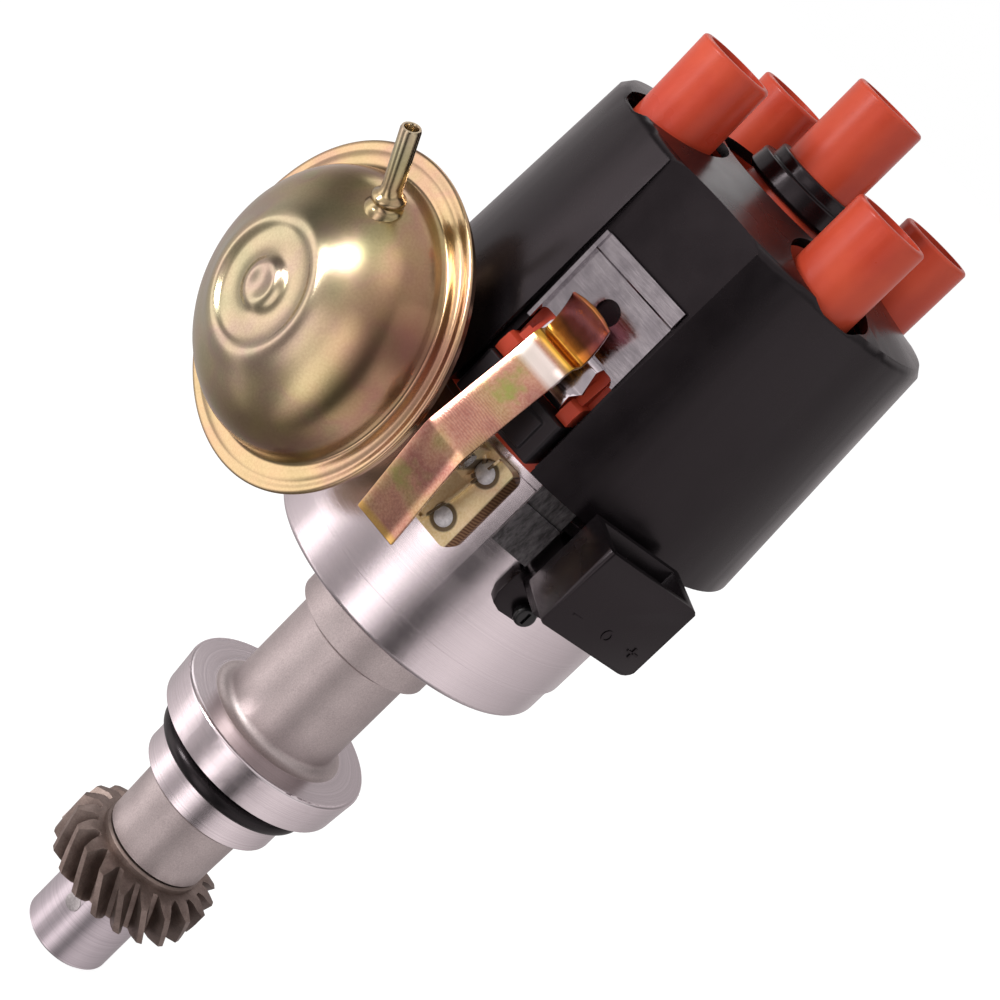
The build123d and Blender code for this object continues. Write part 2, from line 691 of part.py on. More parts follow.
def cap_shroud():
    wall = SHROUD_WALL
    lip_r = CAP_SKIRT_R + TOUCH
    rise = (SHROUD_TOP_Z - SHROUD_HIGH_Z) / (SHROUD_HIGH_R - SHROUD_EYE_R)
    inner_high = SHROUD_HIGH_Z - wall
    body = lathe(
        (lip_r, SHROUD_LOW_Z),
        (SHROUD_LOW_R, SHROUD_LOW_Z),
        (SHROUD_HIGH_R, SHROUD_HIGH_Z - SHROUD_EDGE),
        (SHROUD_HIGH_R - SHROUD_EDGE, SHROUD_HIGH_Z + SHROUD_EDGE * rise),
        (SHROUD_EYE_R, SHROUD_TOP_Z),
        (SHROUD_EYE_R, SHROUD_TOP_Z - wall),
        (SHROUD_HIGH_R - wall - wall * rise, inner_high + wall * rise),
        (SHROUD_LOW_R - wall, SHROUD_LOW_Z + 2.5),
        (lip_r, SHROUD_LOW_Z + 2.5),
    )
    for place in tower_places():
        body -= place * rod(SHROUD_TOWER_HOLE_R, SHROUD_HIGH_Z - 6, SHROUD_TOP_Z + 5)
    half = RECESS_W / 2
    for side in range(len(SIDES)):
        back = -RECESS_Y + wall
        pad = block(-half - 1.2, half + 1.2, -RECESS_Y - 3, back, SHROUD_LOW_Z, SHROUD_HIGH_Z - 2)
        body += facing(side) * (pad & rod(SHROUD_HIGH_R - 0.4, SHROUD_LOW_Z, SHROUD_HIGH_Z))
        body -= facing(side) * block(-half, half, -60, -RECESS_Y, SHROUD_LOW_Z - 1, SHROUD_TOP_Z + 1)
        window = WINDOW_W / 2
        body -= facing(side) * block(-window, window, -60, -30, SHROUD_LOW_Z - 1, WINDOW_HIGH_Z)
    return body - lathe(
        (0, SHROUD_LOW_Z - 1),
        (CAP_SKIRT_R + TOUCH, SHROUD_LOW_Z - 1),
        (CAP_SKIRT_R + TOUCH, RIM_Z + 3),
        (CAP_SHOULDER_R + TOUCH, CAP_TOP_Z - 3),
        (0, CAP_TOP_Z - 3),
    )


def centre_tower_ring():
    body = lathe(
        (TOWER_R + TOUCH, RING_LOW_Z),
        (RING_R - 0.6, RING_LOW_Z),
        (RING_R, RING_LOW_Z + 0.8),
        (RING_R - 0.5, RING_STEP_Z),
        (RING_UP_R, RING_STEP_Z),
        (RING_UP_R - 0.2, RING_TOP_Z),
        (TOWER_R + TOUCH, RING_TOP_Z),
    )
    return body


def clip_plate():
    """Bright steel plate on the shroud's flat, with a joggled top, a side fold and a folded tongue."""
    half = CLIP_PLATE_W / 2
    middle = -RECESS_Y - SHEET_T / 2
    outer = middle - SHELF_OUT
    low = CLIP_PLATE_LOW_Z
    high = CLIP_PLATE_HIGH_Z
    sheet = [
        Line((middle, low), (middle, SHELF_Z)),
        Line((middle, SHELF_Z), (outer, SHELF_Z + 0.5)),
        Line((outer, SHELF_Z + 0.5), (outer, high)),
    ]
    body = extrude(ribbon(SHEET_T, *sheet), half, both=True)
    fold = middle - SIDE_FOLD - SHEET_T / 2
    body += block(-half, -half + SHEET_T, fold, middle, low, high)
    body += block(-half, -half + SHEET_T, fold, fold + 1.0, SIDE_FOLD_LOW_Z, low + 1)
    body -= block(-NOTCH_X, NOTCH_X, middle - 1, middle + 1, low - 1, NOTCH_TOP_Z)
    for x in (-NOTCH_X, NOTCH_X):
        body -= block(x - NOTCH_R, x + NOTCH_R, middle - 1, middle + 1, low - 1, NOTCH_TOP_Z - NOTCH_R)
        body -= Pos(x, middle, NOTCH_TOP_Z - NOTCH_R) * Rot(90, 0, 0) * Cylinder(NOTCH_R, 2)
    body += clip_tongue(middle)
    return body - Pos(0, middle, PLATE_HOLE_Z) * Rot(90, 0, 0) * Cylinder(PLATE_EYE_R, 4)


def clip_tongue(middle):
    """Tongue that leaves the plate between the notches, folds and curls back to the cap."""
    top = NOTCH_TOP_Z + 1
    fold = (middle - TONGUE_OUT, TONGUE_FOLD_Z)
    low = BLOCK_HIGH_Z + 1.4
    curl = [
        Line((middle, top), (middle, top - 0.7)),
        Line((middle, top - 0.7), (middle - 0.6 * TONGUE_OUT, top - 2.1)),
        Line((middle - 0.6 * TONGUE_OUT, top - 2.1), fold),
        ThreePointArc(fold, (fold[0] - 0.3, fold[1] - 3.4), (middle - 0.5 * TONGUE_OUT, low)),
        Line((middle - 0.5 * TONGUE_OUT, low), (middle + 0.3, low - 0.3)),
    ]
    front = make_face(
        Plane.XZ
        * Polyline(
            (-TONGUE_LEFT, top + 1),
            (-TONGUE_LEFT, low - 2),
            (TONGUE_RIGHT, low - 2),
            (TONGUE_RIGHT, LUG_STEP_Z + FIT),
            (TONGUE_RIGHT + TONGUE_FLARE, TONGUE_FOLD_Z),
            (TONGUE_RIGHT, top - 2),
            (TONGUE_RIGHT, top + 1),
            close=True,
        )
    )
    return extrude(ribbon(SHEET_T, *curl), CLIP_PLATE_W / 2, both=True) & extrude(front, 60, both=True)


def ribbon(thickness, *segments):
    """Thin closed profile in the YZ plane that follows lines and arcs."""
    pen = trace(Curve() + list(segments), line_width=thickness)
    return Plane.YZ * pen


def clip():
    """Bowed leaf spring with a hooked top, and a knuckle that turns on the pin."""
    half = CLIP_W / 2
    leaf = [
        Line(CLIP_TAIL, CLIP_HEEL),
        ThreePointArc(CLIP_HEEL, CLIP_CREASE, CLIP_SHOULDER),
        Line(CLIP_SHOULDER, CLIP_BEND_LOW),
        ThreePointArc(CLIP_BEND_LOW, CLIP_BEND, CLIP_BEND_TOP),
        Line(CLIP_BEND_TOP, CLIP_VALLEY),
        ThreePointArc(CLIP_VALLEY, CLIP_HOOK, CLIP_HOOK_TOP),
        Line(CLIP_HOOK_TOP, CLIP_TIP),
    ]
    top = CLIP_TIP[1]
    low = CLIP_TAIL[1] - CLIP_T
    front = make_face(
        Plane.XZ
        * (
            Polyline((-half, top - 0.5), (-half, low + 0.9), (-half + 0.6, low), (half - 0.6, low))
            + Polyline((half - 0.6, low), (half, low + 0.9), (half, top - 0.5))
            + ThreePointArc((half, top - 0.5), (0, top + 0.3), (-half, top - 0.5))
        )
    )
    body = extrude(ribbon(CLIP_T, *leaf), half, both=True) & extrude(front, 90, both=True)
    knuckle = make_face(
        Plane.YZ
        * Polyline(
            (PIVOT_Y, PIVOT_Z - EYE_R),
            (CLIP_HEEL[0], PIVOT_Z - 4.0),
            (CLIP_CREASE[0], PIVOT_Z + 3.0),
            (PIVOT_Y, PIVOT_Z + EYE_R),
            close=True,
        )
    )
    body += extrude(knuckle, KNUCKLE_W / 2, both=True)
    body += Pos(0, PIVOT_Y, PIVOT_Z) * Rot(0, 90, 0) * Cylinder(EYE_R, KNUCKLE_W)
    return body - Pos(0, PIVOT_Y, PIVOT_Z) * Rot(0, 90, 0) * Cylinder(CLIP_PIN_R + RUN, CLIP_W)


def clip_bracket():
    """Plate riveted to the bowl: sides folded back, two slanting ribs, a round pressing and two ears."""
    half = BRACKET_W / 2
    face = -BRACKET_Y
    low = BRACKET_LOW_Z
    height = BRACKET_HIGH_Z - low
    back = -chord(BOWL_R, half) + 1
    plan = Polyline(
        (-half, back),
        (-half, face + FOLD_DEPTH),
        (-half + FOLD_X, face),
        (half - FOLD_X, face),
        (half, face + FOLD_DEPTH),
        (half, back),
        close=True,
    )
    body = extrude(Pos(0, 0, low) * make_face(plan), height)
    front = Pos(0, face, low + height / 2) * Rot(90, 0, 0) * RectangleRounded(BRACKET_W, height, BRACKET_CORNER_R)
    body &= extrude(front, 10, both=True)
    body -= rod(BOWL_R, low - 1, BRACKET_HIGH_Z + 1)
    inside = rib_outline(-RIB_W)
    body += Pos(0, face + 0.3, 0) * extrude(rib_outline(0), RIB_H + 0.3, dir=(0, -1, 0))
    body -= Pos(0, face + POCKET_DEPTH, 0) * extrude(inside, 9, dir=(0, -1, 0))
    ring = Rot(90, 0, 0) * tube(PRESSING_R, PRESSING_R - PRESSING_W, -POCKET_DEPTH - 0.3, 0.2)
    body += Pos(0, face, PRESSING_Z) * ring
    ear = make_face(
        Plane.YZ
        * Polyline(
            (face + POCKET_DEPTH + 0.3, PIVOT_Z - 5.0),
            (face - 1, PIVOT_Z - 5.0),
            (PIVOT_Y, PIVOT_Z - EYE_R),
            (PIVOT_Y, PIVOT_Z + EYE_R),
            (face + POCKET_DEPTH + 0.3, PIVOT_Z + 2.4),
            close=True,
        )
    )
    ear_in = KNUCKLE_W / 2 + FIT
    for start in (-ear_in - EAR_T, ear_in):
        body += Pos(start, 0, 0) * extrude(ear, EAR_T, dir=(1, 0, 0))
        body += Pos(start, PIVOT_Y, PIVOT_Z) * Rot(0, 90, 0) * rod(EYE_R, 0, EAR_T)
    body -= Pos(0, PIVOT_Y, PIVOT_Z) * Rot(0, 90, 0) * Cylinder(CLIP_PIN_R, CLIP_W)
    for x, z in rivet_places():
        body -= Pos(x, face, z) * Rot(90, 0, 0) * Cylinder(RIVET_R, 12)
        body -= Pos(x, face, z) * Rot(90, 0, 0) * rod(RIVET_HEAD_R + 0.3, 0, 1.1)
    return body


def rib_outline(offset):
    """Face between the two slanting ribs, moved outwards by an offset."""
    points = [(x + offset, z) for x, z in (RIB_LOW, RIB_MIDDLE, RIB_HIGH)]
    points += [(-x, z) for x, z in reversed(points)]
    return make_face(Plane.XZ * Polyline(*points, close=True))


def rivet_places():
    return [(x, z) for x in (-RIVET_X, RIVET_X) for z in RIVET_ROWS]


def rivets():
    parts = []
    for x, z in rivet_places():
        depth = BRACKET_Y - chord(BOWL_R, x) - 0.1
        shank = Pos(x, -BRACKET_Y, z) * Rot(90, 0, 0) * rod(RIVET_R, -depth + 0.4, 0)
        head = Pos(x, -BRACKET_Y, z) * Rot(90, 0, 0) * rod(RIVET_HEAD_R, 0, 0.9)
        parts.append(shank + fillet(rings_y(head, RIVET_HEAD_R), 0.8))
    return parts


def rings_y(part, radius):
    """Outer round edge of a head that faces the front."""
    edges = part.edges().filter_by(GeomType.CIRCLE)
    return [min((e for e in edges if abs(e.radius - radius) < 0.02), key=lambda e: e.arc_center.Y)]


def clip_pin():
    """Hinge pin with a head against each ear."""
    reach = KNUCKLE_W / 2 + FIT + EAR_T
    pin = rod(CLIP_PIN_R, -reach - 0.6, reach + 0.6)
    for low in (-reach - 0.6, reach + TOUCH):
        pin += rod(CLIP_PIN_R + 0.8, low, low + 0.6 - TOUCH)
    return Pos(0, PIVOT_Y, PIVOT_Z) * Rot(0, 90, 0) * pin





def locating_block():
    half = BLOCK_W / 2
    body = block(-half, half, -BLOCK_Y, -CAP_SKIRT_R + 0.5, BLOCK_LOW_Z, BLOCK_HIGH_Z)
    body -= rod(CAP_SKIRT_R + TOUCH, BLOCK_LOW_Z - 1, BLOCK_HIGH_Z + 1)
    body = fillet(body.edges().filter_by(Axis.Z).sort_by(Axis.Y)[:2], 0.8)
    body += block(-half + 3, half - 3, -BLOCK_Y - 0.9, -BLOCK_Y + 1, BLOCK_LOW_Z + 1.2, BLOCK_HIGH_Z - 1.8)
    return body


def dome_profile(thickness):
    """Half section of the can's front cover in (radius, distance), moved inwards by a thickness."""
    t = thickness
    top = NOSE_S - t
    return [
        (DOME_R - t, FLANGE_S + FLANGE_T),
        (DOME_R - 0.5 - t, FLANGE_S + 6.5),
        (DOME_R - 3.4 - t, FLANGE_S + 11.6),
        (DOME_R - 8.4 - t, top - 3.0),
        (NOSE_R + 2.6, top - 0.6),
        (NOSE_R + 1.1, top),
    ]


def vacuum_cover():
    outer = dome_profile(0)
    inner = dome_profile(CAN_SHEET)
    low = FLANGE_S
    top = NOSE_S
    flange = [(DOME_R - CAN_SHEET, low), (FLANGE_R, low), (FLANGE_R, low + FLANGE_T)]
    flange += [(STEP_R + 0.9, low + FLANGE_T), (STEP_R, low + FLANGE_T + STEP_H)]
    flange += [(DOME_R + 0.9, low + FLANGE_T + STEP_H), (DOME_R, low + FLANGE_T)]
    nose = [(NOSE_R - 0.9, top), (NOSE_R - 1.6, top - 0.9), (NOSE_BOSS_R + 1.4, top - 0.9)]
    nose += [(NOSE_BOSS_R, top + 0.6), (0, top + 0.9)]
    under = [(0, top - CAN_SHEET - 0.4), (NOSE_R - 1.4, top - CAN_SHEET - 0.9)]
    body = lathe(*flange, *outer[1:], *nose, *under, *reversed(inner[:-2]))
    body += Pos(0, 0, low + RIM_ROLL_R) * Torus(FLANGE_R - RIM_ROLL_R, RIM_ROLL_R)
    return CAN * body - nipple_rod(NIPPLE_R + 0.02, 4)


def nipple_frame():
    lean = Rot(-(90 - NIPPLE_LEAN_DEG), 0, 0)
    return CAN * Pos(NIPPLE_SIDE, NIPPLE_UP, NIPPLE_S) * lean


def nipple_rod(radius, depth):
    return nipple_frame() * rod(radius, -depth, NIPPLE_LEN)


def vacuum_nipple():
    """Hose tube with a double bead where it enters the dome."""
    stem = lathe(
        (0, -2.5),
        (NIPPLE_R, -2.5),
        (NIPPLE_R, NIPPLE_LEN - 0.3),
        (NIPPLE_R - 0.3, NIPPLE_LEN),
        (0, NIPPLE_LEN),
    )
    for height in (2.9, 4.4):
        stem += Pos(0, 0, height) * Torus(NIPPLE_R, 1.1)
    return nipple_frame() * (stem - rod(NIPPLE_BORE_R, -3, NIPPLE_LEN + 1))


def vacuum_back():
    low = BACK_S
    body = lathe(
        (ROD_R + 1.6, low),
        (BACK_R - 2, low),
        (BACK_R, low + 2),
        (BACK_R + 2.4, FLANGE_S - 2),
        (FLANGE_R - 1.2, FLANGE_S - 1.4),
        (FLANGE_R - 1.2, FLANGE_S - 0.5),
        (BACK_R + 1.4, FLANGE_S - 0.5),
        (BACK_R - 1, low + CAN_SHEET + 1.6),
        (BACK_R - 2.6, low + CAN_SHEET),
        (ROD_R + 1.6, low + CAN_SHEET),
    )
    return CAN * body - screw_holes()


def diaphragm():
    """Rubber ring clamped between the shells."""
    return CAN * tube(FLANGE_R - 1.4, CUP_R + 0.6, FLANGE_S - 0.5, FLANGE_S)


def vacuum_spring():
    low = FLANGE_S + FLANGE_T + 0.2
    return CAN * Pos(0, 0, low) * spring(CAN_SPRING_R, CAN_WIRE_R, NOSE_S - 2 * CAN_SHEET - low, 5)


def pull_rod():
    """Flat-eyed rod from the moving plate's pin to the diaphragm's cup."""
    eye_t = 1.6
    eye = Rot(-90, 0, 0) * Cylinder(ROD_EYE_R, eye_t)
    slot = Rot(-90, 0, 0) * Cylinder(DRIVE_PIN_R + 0.35, eye_t + 2)
    bar = rod(ROD_R, ROD_EYE_R - 0.8, FLANGE_S)
    cup = rod(CUP_R, FLANGE_S - 0.5, FLANGE_S + FLANGE_T)
    return CAN * (eye - slot + bar + cup)


def vacuum_bracket():
    """Folded steel arm between the bowl and the can's back."""
    half_w = ARM_W / 2
    half_h = ARM_H / 2
    outer = block(-half_w, half_w, -half_h, half_h - 3, 20, BACK_S)
    inner = block(-half_w + ARM_T, half_w - ARM_T, -half_h + ARM_T, half_h, 10, BACK_S - ARM_T)
    body = CAN * (outer - inner)
    body -= rod(BOWL_R, 0, 200)
    body -= CAN * rod(ROD_R + 1.6, 0, BACK_S + 1)
    return body - screw_holes()


def screw_places():
    return [CAN * Pos(x, 0, BACK_S - ARM_T) for x in (-CAN_SCREW_X, CAN_SCREW_X)]


def vacuum_screws():
    """Two cheese-head screws through the arm's floor into the can's back."""
    screw = rod(2.4, -1.8, 0) + rod(CAN_SCREW_R, -0.5, ARM_T + CAN_SHEET + 0.4)
    screw -= Pos(0, 0, -1.8) * Box(6, 0.7, 1.4)
    return [place * screw for place in screw_places()]


def screw_holes():
    return [place * rod(CAN_SCREW_R, -1, ARM_T + 3) for place in screw_places()]


def plug_cavity():
    half = PLUG_W / 2 - PLUG_WALL
    return block(
        -half, half, PLUG_LOW_Z + 2.4, PLUG_HIGH_Z + 1, PLUG_BACK_S + PLUG_WALL, PLUG_FACE_S - PLUG_WALL
    )


def plug_pin_places():
    first = -PLUG_PIN_PITCH * (PLUG_PINS - 1) / 2
    return [first + n * PLUG_PIN_PITCH for n in range(PLUG_PINS)]


def connector_housing():
    """Upright three-pin socket on a foot that is screwed to the bowl."""
    half = PLUG_W / 2
    inner_r = BOWL_IN_R - 4
    shell = block(-half, half, PLUG_LOW_Z, PLUG_HIGH_Z, PLUG_BACK_S, PLUG_FACE_S)
    corners = shell.edges().filter_by(Axis.Y).sort_by(Axis.X)
    shell = chamfer(corners[:2].sort_by(Axis.Z)[-1:], PLUG_CHAMFER)
    shell = fillet(shell.edges().filter_by(Axis.Y).sort_by(Axis.X)[-2:], 1.2)
    foot = block(-FOOT_LEFT, FOOT_RIGHT, LUG_HIGH_Z - 2.2, PLUG_LOW_Z + 9, inner_r, PLUG_BACK_S + 0.5)
    left, right = -LUG_LEFT, LUG_RIGHT
    corner = (LUG_HIGH_Z - LUG_LOW_Z) / 3
    lug = Polyline(
        (left + corner, LUG_LOW_Z),
        (right - corner / 2, LUG_LOW_Z),
        (right, LUG_LOW_Z + corner),
        (right, LUG_HIGH_Z),
        (left + corner / 2, LUG_HIGH_Z),
        (left, LUG_LOW_Z + corner),
        close=True,
    )
    lug = extrude(Pos(0, 0, inner_r) * make_face(lug), BOWL_R + LUG_T - inner_r)
    outside = PLUG * (foot + lug) - rod(BOWL_R, 60, 120)
    plug = PLUG * block(-5.4, 5.4, PLUG_LOW_Z + 1.2, PLUG_LOW_Z + 7.8, BOWL_IN_R - 2, BOWL_R + 2)
    body = PLUG * (shell - plug_cavity()) + outside + plug
    body -= PLUG * Pos(LUG_SCREW_T, LUG_SCREW_Z, 0) * rod(1.5, inner_r, BOWL_R + LUG_T + 9)
    for x in plug_pin_places():
        body -= PLUG * pin_blank(x)
    return body


def pin_blank(x):
    """Flat blade that rises through the socket's floor."""
    middle = (PLUG_BACK_S + PLUG_FACE_S) / 2
    return block(x - 1.2, x + 1.2, PLUG_LOW_Z + 0.8, PLUG_HIGH_Z - PIN_BELOW, middle - 0.4, middle + 0.4)


def connector_pins():
    return [PLUG * pin_blank(x) for x in plug_pin_places()]


def connector_screw():
    """Screw with a domed head through the lug."""
    place = PLUG * Pos(LUG_SCREW_T, LUG_SCREW_Z, BOWL_R)
    head = fillet(rings(rod(2.4, LUG_T, LUG_T + 1.8), 2.4, LUG_T + 1.8), 0.9)
    return place * (head + rod(1.5, 0.1, LUG_T) - Pos(0, 0, LUG_T + 1.8) * Box(0.7, 2.8, 1.4))


def wire_grommet():
    """Rubber block in the bowl's rim slot, stepped on its outer face."""
    half = GROMMET_W / 2
    face = BOWL_R + GROMMET_PROUD
    inner_r = BOWL_IN_R - 4
    inner = block(
        -half + TOUCH, half - TOUCH, GROMMET_LOW_Z + 2 + TOUCH, RIM_Z - TOUCH, BOWL_IN_R - 1, face - 1
    )
    lower = block(-half, half, GROMMET_LOW_Z, GROMMET_STEP_Z, inner_r, face)
    upper = block(-half, half, GROMMET_STEP_Z, RIM_Z - TOUCH, inner_r, face - 0.5)
    outside = along(GROMMET_AZIMUTH) * (lower + upper) - rod(BOWL_R, 60, 120)
    return outside + along(GROMMET_AZIMUTH) * inner


def both_sides(piece):
    return [facing(side) * piece for side in range(len(SIDES))]


def all_nodes():
    """Every sub-part by name; a list is a group of separate solids."""
    nodes = {
        "housing": housing(),
        "o_ring": o_ring(),
        "lower_bush": bush(STEM_END_Z, STEM_END_Z + BUSH_LEN),
        "upper_bush": bush(FLOOR_Z - BUSH_LEN, FLOOR_Z),
        "drive_shaft": drive_shaft(),
        "drive_gear": drive_gear(),
        "gear_pin": cross_pin(),
        "thrust_washer": thrust_washer(GEAR_TOP_Z + TOUCH),
        "weight_plate": weight_plate(),
        "weight_pins": weight_pins(),
        "flyweight_1": flyweight(0),
        "flyweight_2": flyweight(180),
        "advance_spring_1": advance_spring(0),
        "advance_spring_2": advance_spring(180),
        "cam_sleeve": cam_sleeve(),
        "vane_wheel": vane_wheel(),
        "rotor_arm": rotor_arm(),
        "rotor_electrode": rotor_electrode(),
        "base_plate": base_plate(),
        "moving_plate": moving_plate(),
        "hall_pickup": hall_pickup(),
        "dust_cover": dust_cover(),
        "distributor_cap": distributor_cap(),
        "cap_shroud": cap_shroud(),
        "centre_tower_ring": centre_tower_ring(),
        "cap_terminals": cap_terminals(),
        "centre_terminal": centre_terminal(),
        "carbon_brush": carbon_brush(),
        "brush_spring": brush_spring(),
        "locating_blocks": both_sides(locating_block()),
        "clip_pins": both_sides(clip_pin()),
        "clip_rivets": [facing(side) * rivet for side in range(len(SIDES)) for rivet in rivets()],
        "vacuum_cover": vacuum_cover(),
        "vacuum_back": vacuum_back(),
        "vacuum_nipple": vacuum_nipple(),
        "diaphragm": diaphragm(),
        "vacuum_spring": vacuum_spring(),
        "pull_rod": pull_rod(),
        "vacuum_bracket": vacuum_bracket(),
        "vacuum_screws": vacuum_screws(),
        "connector_housing": connector_housing(),
        "connector_pins": connector_pins(),
        "connector_screw": connector_screw(),
        "wire_grommet": wire_grommet(),
    }
    for side, name in enumerate(SIDES):
        nodes[f"clip_plate_{name}"] = facing(side) * clip_plate()
        nodes[f"clip_{name}"] = facing(side) * clip()
        nodes[f"clip_bracket_{name}"] = facing(side) * clip_bracket()
    return nodes


def main():
    os.makedirs("parts", exist_ok=True)
    for name, piece in all_nodes().items():
        solids = [s for p in (piece if isinstance(piece, list) else [piece]) for s in p.solids()]
        shape = solids[0] if len(solids) == 1 else Compound(children=solids)
        export_step(shape, f"parts/{name}.step")
        print(f"{name}: {len(solids)} solids, {sum(s.volume for s in solids):.1f} mm3")


if __name__ == "__main__":
    main()
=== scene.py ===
"""Looks of the ignition distributor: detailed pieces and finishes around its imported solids."""

import json
import math

import bmesh
import bpy
from mathutils import Matrix, Vector


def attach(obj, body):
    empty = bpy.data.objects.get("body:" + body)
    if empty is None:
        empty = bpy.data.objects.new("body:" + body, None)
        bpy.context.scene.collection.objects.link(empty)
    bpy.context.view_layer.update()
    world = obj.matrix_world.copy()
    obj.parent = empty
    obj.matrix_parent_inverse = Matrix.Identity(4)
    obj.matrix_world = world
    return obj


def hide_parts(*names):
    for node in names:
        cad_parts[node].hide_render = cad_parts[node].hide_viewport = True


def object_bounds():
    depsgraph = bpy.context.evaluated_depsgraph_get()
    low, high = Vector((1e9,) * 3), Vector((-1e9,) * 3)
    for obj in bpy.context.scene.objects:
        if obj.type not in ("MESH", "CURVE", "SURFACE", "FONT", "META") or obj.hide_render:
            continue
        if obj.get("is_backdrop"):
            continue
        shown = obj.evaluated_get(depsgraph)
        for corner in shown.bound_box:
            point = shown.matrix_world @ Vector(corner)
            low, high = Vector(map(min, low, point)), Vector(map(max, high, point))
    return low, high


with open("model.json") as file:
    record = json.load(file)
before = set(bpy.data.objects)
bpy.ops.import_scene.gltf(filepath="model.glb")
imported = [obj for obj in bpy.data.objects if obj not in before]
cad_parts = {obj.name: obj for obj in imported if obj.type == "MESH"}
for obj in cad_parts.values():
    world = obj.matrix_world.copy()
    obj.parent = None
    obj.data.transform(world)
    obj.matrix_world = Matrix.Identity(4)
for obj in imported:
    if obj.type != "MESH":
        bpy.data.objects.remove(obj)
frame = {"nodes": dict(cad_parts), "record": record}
nodes = frame["nodes"]
MM = 0.001


def write_sizes(key, sizes):
    """Keeps the box of the solids, and then of the dressed model, as plain lists."""
    low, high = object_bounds()
    sizes[key] = [list(low), list(high)]


sizes = {}
write_sizes("cad", sizes)

# Camera: its place, the way it looks and its turn about that way were fitted to the photograph
CAMERA_AT = Vector((104.55, -394.3, 214.25)) * MM
LOOKS = Vector((-0.243, 0.9206, -0.3057)).normalized()
LEVEL_RIGHT = Vector((0.9666, 0.2563, 0.0)).normalized()
LEVEL_UP = LEVEL_RIGHT.cross(LOOKS).normalized()
ROLL = math.radians(44.97)
FOCAL_SHARE = 2.011
SENSOR_MM = 36.0


def make_camera():
    """Camera at the photograph's place; gives the image's right and up as directions."""
    right = LEVEL_RIGHT * math.cos(ROLL) + LEVEL_UP * math.sin(ROLL)
    up = -LEVEL_RIGHT * math.sin(ROLL) + LEVEL_UP * math.cos(ROLL)
    data = bpy.data.cameras.new("photo_camera")
    data.sensor_width = SENSOR_MM
    data.lens = SENSOR_MM * FOCAL_SHARE
    data.clip_start = 0.01
    data.clip_end = 20.0
    camera = bpy.data.objects.new("photo_camera", data)
    bpy.context.scene.collection.objects.link(camera)
    turn = Matrix((right, up, -LOOKS)).transposed()
    camera.matrix_world = Matrix.Translation(CAMERA_AT) @ turn.to_4x4()
    bpy.context.scene.camera = camera
    return right, up


IMAGE_RIGHT, IMAGE_UP = make_camera()
bpy.context.scene.view_settings.view_transform = "Standard"


def linear(code):
    """Linear colour of an sRGB hex value."""
    parts = [int(code[i:i + 2], 16) / 255 for i in (0, 2, 4)]
    return [p / 12.92 if p <= 0.04045 else ((p + 0.055) / 1.055) ** 2.4 for p in parts] + [1.0]


def add(tree, kind, inputs=(), output=0, stops=(), **settings):
    """Adds one node, and gives the output that is asked for.

    Inputs come in the sockets' order, or by name or number. Each is a value, an sRGB hex colour or the
    output that feeds it. Stops are a colour ramp's positions and colours.
    """
    node = tree.nodes.new("ShaderNode" + kind)
    for name, value in settings.items():
        setattr(node, name, value)
    for name, value in inputs.items() if isinstance(inputs, dict) else enumerate(inputs):
        if isinstance(value, bpy.types.NodeSocket):
            tree.links.new(value, node.inputs[name])
        else:
            node.inputs[name].default_value = linear(value) if isinstance(value, str) else value
    while stops and len(node.color_ramp.elements) < len(stops):
        node.color_ramp.elements.new(0.5)
    for number, (position, colour) in enumerate(stops):
        node.color_ramp.elements[number].position = position
        node.color_ramp.elements[number].color = linear(colour) if isinstance(colour, str) else colour
    return node.outputs[output] if node.outputs else None


def new_finish(name):
    """Empty material, its tree and the place of a point on the piece."""
    finish = bpy.data.materials.new(name)
    finish.use_nodes = True
    finish.node_tree.nodes.clear()
    return finish, finish.node_tree, add(finish.node_tree, "TexCoord", output="Object")


def grains(size_mm):
    """Scale of a noise whose grains are about this many millimetres across."""
    return 1 / (size_mm * MM)


def waves(pitch_mm):
    """Scale of a wave pattern with this pitch; at scale 1 its bands repeat every 0.314 m."""
    return 0.314 / (pitch_mm * MM)


def radius_height(tree, place):
    """Distance from the shaft's axis and height, in metres."""
    parts = add(tree, "SeparateXYZ", [place]).node.outputs
    flat = add(tree, "CombineXYZ", [parts["X"], parts["Y"]])
    return add(tree, "VectorMath", [flat], "Value", operation="LENGTH"), parts["Z"]


def between(tree, value, start, full, last, end):
    """One from full to last, in millimetres, fading to nought at start and at end."""
    rise = add(tree, "MapRange", [value, start * MM, full * MM, 0.0, 1.0])
    fall = add(tree, "MapRange", [value, last * MM, end * MM, 1.0, 0.0])
    return add(tree, "Math", [rise, fall], operation="MULTIPLY")


# Limits of the finishes on the housing and on the gear, in millimetres
TURNED_R = (17.55, 17.85)
COLLAR_TOP_Z = 10.0
CAST_CONE_TOP_Z = 30.0
HUB_TOP_Z = -48.6
HUB_R = 11.6


